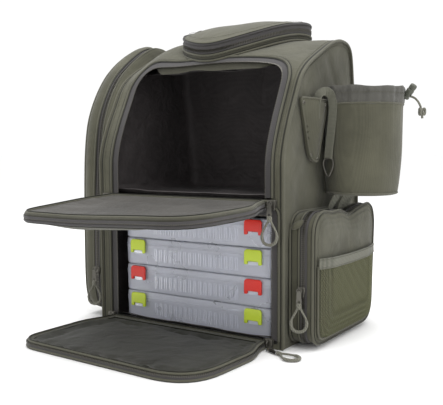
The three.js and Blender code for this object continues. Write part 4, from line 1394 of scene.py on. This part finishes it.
def makeHarness():
    outline = softOutline([(-118, 52), (118, 52), (118, 362), (-118, 362)], [34, 34, 40, 40], 8)
    makePad("backPadding", outline, onBack, 11, "back_padding", cap=4)
    for number, z in enumerate((150, 252)):
        x = np.linspace(-108, 108, 60)
        groove = onBack(x, np.full(60, float(z)), np.full(60, 6.6))
        addPiece("backPadSeam%d" % (number + 1), tube(groove, 1.5, up=(0, 1, 0)), "pack",
                 "darkOlive")
    for name, side in (("left", -1), ("right", 1)):
        label = name.title()
        route = evenPath(finePath([(111.2, 392), (136, 390), (158, 366), (170, 330), (174, 296), (172, 240),
                                   (162, 180)], 8, 20), 5)
        lengths = np.concatenate([[0], np.cumsum(np.linalg.norm(np.diff(route, axis=0), axis=1))])
        away = outwardOf(route, closed=False)

        def onStrap(x, s, height, side=side):
            yz = [np.interp(s, lengths, route[:, k]) for k in (0, 1)]
            normal = [np.interp(s, lengths, away[:, k]) for k in (0, 1)]
            return np.column_stack([side * 66.0 - x, yz[0] - normal[0] * height, yz[1] - normal[1] * height])

        total = lengths[-1]
        plan = softOutline([(-29, 3), (29, 3), (30, total * 0.6), (18, total - 2), (-18, total - 2),
                            (-30, total * 0.6)], [8, 8, 30, 8, 8, 30], 7)
        makePad("shoulderStrap" + label, plan, onStrap, 11, "shoulder_strap_" + name, cap=3)
        run = evenPath(finePath([(side * 66.0, y, z) for y, z in ((160, 178), (159.6, 165), (159, 150), (157, 100),
                                                                  (153, 60), (147, 40), (137, 24))], 6, 6), 4)
        addPiece("strapWebbing" + label, sweep(run, flatSection(25, 1.8), (0, 1, 0.05)), "pack",
                 "webbing", "strap_webbing_" + name)
        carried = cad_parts["ladder_lock_" + name]
        carried.data.materials.clear()
        carried.data.materials.append(finish["plastic"])
        spine = evenPath(onStrap(np.zeros(40), np.linspace(30, total - 12, 40), np.full(40, 6.4)), 5)
        addPiece("strapSpine" + label, sweep(spine, flatSection(20, 1.6), outwardSpine(spine)), "pack",
                 "webbing")
    handle = [(-44, 107.2, 425), (-40, 114, 425.5), (-26, 124, 426), (0, 128, 426), (26, 124, 426),
              (40, 114, 425.5), (44, 107.2, 425)]
    path = evenPath(finePath(handle, 8, 10), 3)
    addPiece("haulHandle", sweep(path, flatSection(4.4, 20), (0, 0, 1)), "pack", "webbing",
             "haul_handle")
    grip = path[(np.abs(path[:, 0]) < 26)]
    addPiece("haulHandleGrip", sweep(grip, ringSection(1, 14) * arr([5.2, 11]), (0, 0, 1)), "pack",
             "darkOlive")


def outwardSpine(path):
    along = unit(np.gradient(path, axis=0))
    return unit(np.cross(arr([1.0, 0, 0]), along)) * -1


makeHarness()
print("harness made")


# Zip sliders and cord pulls; turn is a rotation from hanging, facing the front
pullLength = 57.0


def placeShape(shape, place, turn):
    points = shape[0] @ np.array(turn.to_3x3()).T + arr(place)
    return points, shape[1]


def sliderShape():
    plan = arr([(-5.4, 7), (-6, 2), (-4.6, -3), (-4.4, -7), (4.4, -7), (4.6, -3), (6, 2), (5.4, 7)])
    plan = evenPath(plan, 1.6, closed=True)
    plan = counterClockwise(plan)
    plates = []
    for near, far in ((0.0, -1.8), (-4.2, -6.0)):
        rings = [np.column_stack([plan[:, 0], np.full(len(plan), y), plan[:, 1]]) for y in (near, far)]
        plates.append(loft(rings))
    neck = block(-1.6, 1.6, -4.4, -1.6, 1, 6)
    bail = tube(evenPath(finePath([(0, -5.8, 5), (0, -9, 4.6), (0, -11, 2), (0, -10.6, -1), (0, -8, -3.6),
                                   (0, -5.8, -4)], 5, 4), 1), 0.9, up=(1, 0, 0))
    return join(*plates, neck, bail)


def pullShape(length):
    tab = evenPath(arr([(-1.8, 1), (1.8, 1), (3.2, -3), (3.2, -10), (4, -14), (3, -18.5), (-3, -18.5), (-4, -14),
                        (-3.2, -10), (-3.2, -3)]), 1.4, closed=True)
    hole = ringSection(1.7, 10) + arr([0, -14.6])
    flat, faces = cutSheet(counterClockwise(tab), [hole], 1.6)
    front = np.column_stack([flat[:, 0], np.full(len(flat), -0.9), flat[:, 1]])
    back = np.column_stack([flat[:, 0], np.full(len(flat), 0.9), flat[:, 1]])
    metal = join((front, faces), (back, [f[::-1] for f in faces]))
    angles = np.linspace(0, 2 * math.pi, 21)[:-1]
    link = np.column_stack([3.4 * np.cos(angles), np.zeros(20), 3.4 * np.sin(angles) + 0.6])
    ring = tube(link, 0.8, up=(0, 1, 0), closed=True)
    low = -length
    loop = [(-0.8, 0, -17), (-1.4, 0, -22), (-3.6, 0.3, -28), (-8.6, 0.2, -36), (-11.2, 0, low + 14),
            (-9.6, 0, low + 5), (-4.6, 0, low + 0.8), (2.8, 0, low + 0.4), (9.0, 0, low + 4), (11.4, 0, low + 12),
            (9.6, 0, -37), (4.4, -0.3, -28), (1.5, 0, -22), (0.8, 0, -17)]
    path = evenPath(finePath(loop, 6, 8), 1.8)
    thick = 1.5 + 0.75 * smoothStep(-path[:, 2], length - 19, length - 13)
    cord = tube(path, 1.0, up=(0, 1, 0), sides=10, scale=thick)
    collar = [arr([0, 0, z]) + np.column_stack([w * np.cos(t), d * np.sin(t), np.zeros(16)])
              for t in [np.arange(16) * math.pi / 8]
              for w, d, z in ((2.2, 1.6, -16.6), (3.6, 2.6, -17.4), (3.9, 2.7, -21.5), (3.1, 2.3, -24.5),
                              (2.0, 1.6, -25.2))]
    return metal, ring, cord, turned(loft(collar))


def addZipEnd(name, slider, sliderPlace, pull, pullPlace, turn, pullTurn=None):
    addPiece(name + "Slider", placeShape(sliderShape(), sliderPlace, turn), slider, "metal", slider,
             bevel=0.35)
    if pull:
        turn = pullTurn or turn
        metal, ring, cord, collar = pullShape(pullLength)
        addPiece(name + "Pull", placeShape(join(metal, ring), pullPlace, turn), pull, "metal", pull)
        addPiece(name + "Loop", placeShape(cord, pullPlace, turn), pull, "cord")
        addPiece(name + "LoopCollar", placeShape(collar, pullPlace, turn), pull, "cord")


def makeZipEnds():
    still = Matrix.Identity(4)

    def spun(axis, degrees):
        return Matrix.Rotation(math.radians(degrees), 4, axis)

    addZipEnd("upperDoorRight", "upper_door_slider_right", (154, -120.8, 202), "upper_door_pull_right",
              (154, -133, 204), still, spun("Z", 12))
    addZipEnd("upperDoorLeft", "upper_door_slider_left", (-154, -120.8, 202), None, None, still)
    addZipEnd("lowerDoorRight", "lower_door_slider_right", (149, -120.8, 8), "lower_door_pull_right",
              (155, -134, 2.4), still, spun("Z", 70) @ spun("X", -90))
    addZipEnd("leftRoom", "left_compartment_slider", (-184, -112.3, 78), "left_compartment_pull",
              (-184, -124.5, 80), still, spun("Z", 20))
    addZipEnd("rightPocket", "right_pocket_slider", (189, -100.3, 82), "right_pocket_pull", (189, -112.5, 84),
              still, spun("Z", 25))
    sideTurn = spun("Z", -90)
    addZipEnd("topPocket", "top_pocket_slider", (-101.3, 56, 471), "top_pocket_pull", (-113.5, 56, 473.5), sideTurn,
              sideTurn @ spun("Y", 90))
    spare = placeShape(sliderShape(), (-146, -120.8, 9), still)
    addPiece("lowerDoorLeftSlider", spare, "pack", "metal", bevel=0.35)


makeZipEnds()
print("zips made")


# Floor and soft studio light
studio = {"world": 1.03, "top": 34, "right": 9}


def addStudio():
    world = bpy.data.worlds.new("studio")
    world.use_nodes = True
    sky = world.node_tree.nodes["Background"]
    sky.inputs["Color"].default_value = (1, 1, 1, 1)
    sky.inputs["Strength"].default_value = studio["world"]
    scene.world = world
    ring = [(40 * math.cos(a), 40 * math.sin(a), 0) for a in np.arange(48) * math.pi / 24]
    mesh = bpy.data.meshes.new("floor")
    mesh.from_pydata([(x, y, -0.0006) for x, y, _ in ring], [], [tuple(range(48))])
    floor = bpy.data.objects.new("floor", mesh)
    scene.collection.objects.link(floor)
    material, _, _, skin = newMaterial("paleFloor")
    skin.inputs["Base Color"].default_value = (0.98, 0.98, 0.98, 1)
    skin.inputs["Roughness"].default_value = 0.9
    skin.inputs["Specular IOR Level"].default_value = 0.1
    mesh.materials.append(material)
    for name, place, aim, size, power in (("topLight", (0.1, -0.1, 2.0), (0, 0, 0.2), 1.8, studio["top"]),
                                          ("rightLight", (2.2, -0.2, 0.9), (0, 0, 0.25), 1.4, studio["right"])):
        lamp = bpy.data.lights.new(name, "AREA")
        lamp.shape = "DISK"
        lamp.size = size
        lamp.energy = power
        light = bpy.data.objects.new(name, lamp)
        light.location = place
        light.rotation_euler = (Vector(place) - Vector(aim)).to_track_quat("Z", "Y").to_euler()
        scene.collection.objects.link(light)
    scene.view_settings.view_transform = "Standard"


addStudio()
print("studio made")
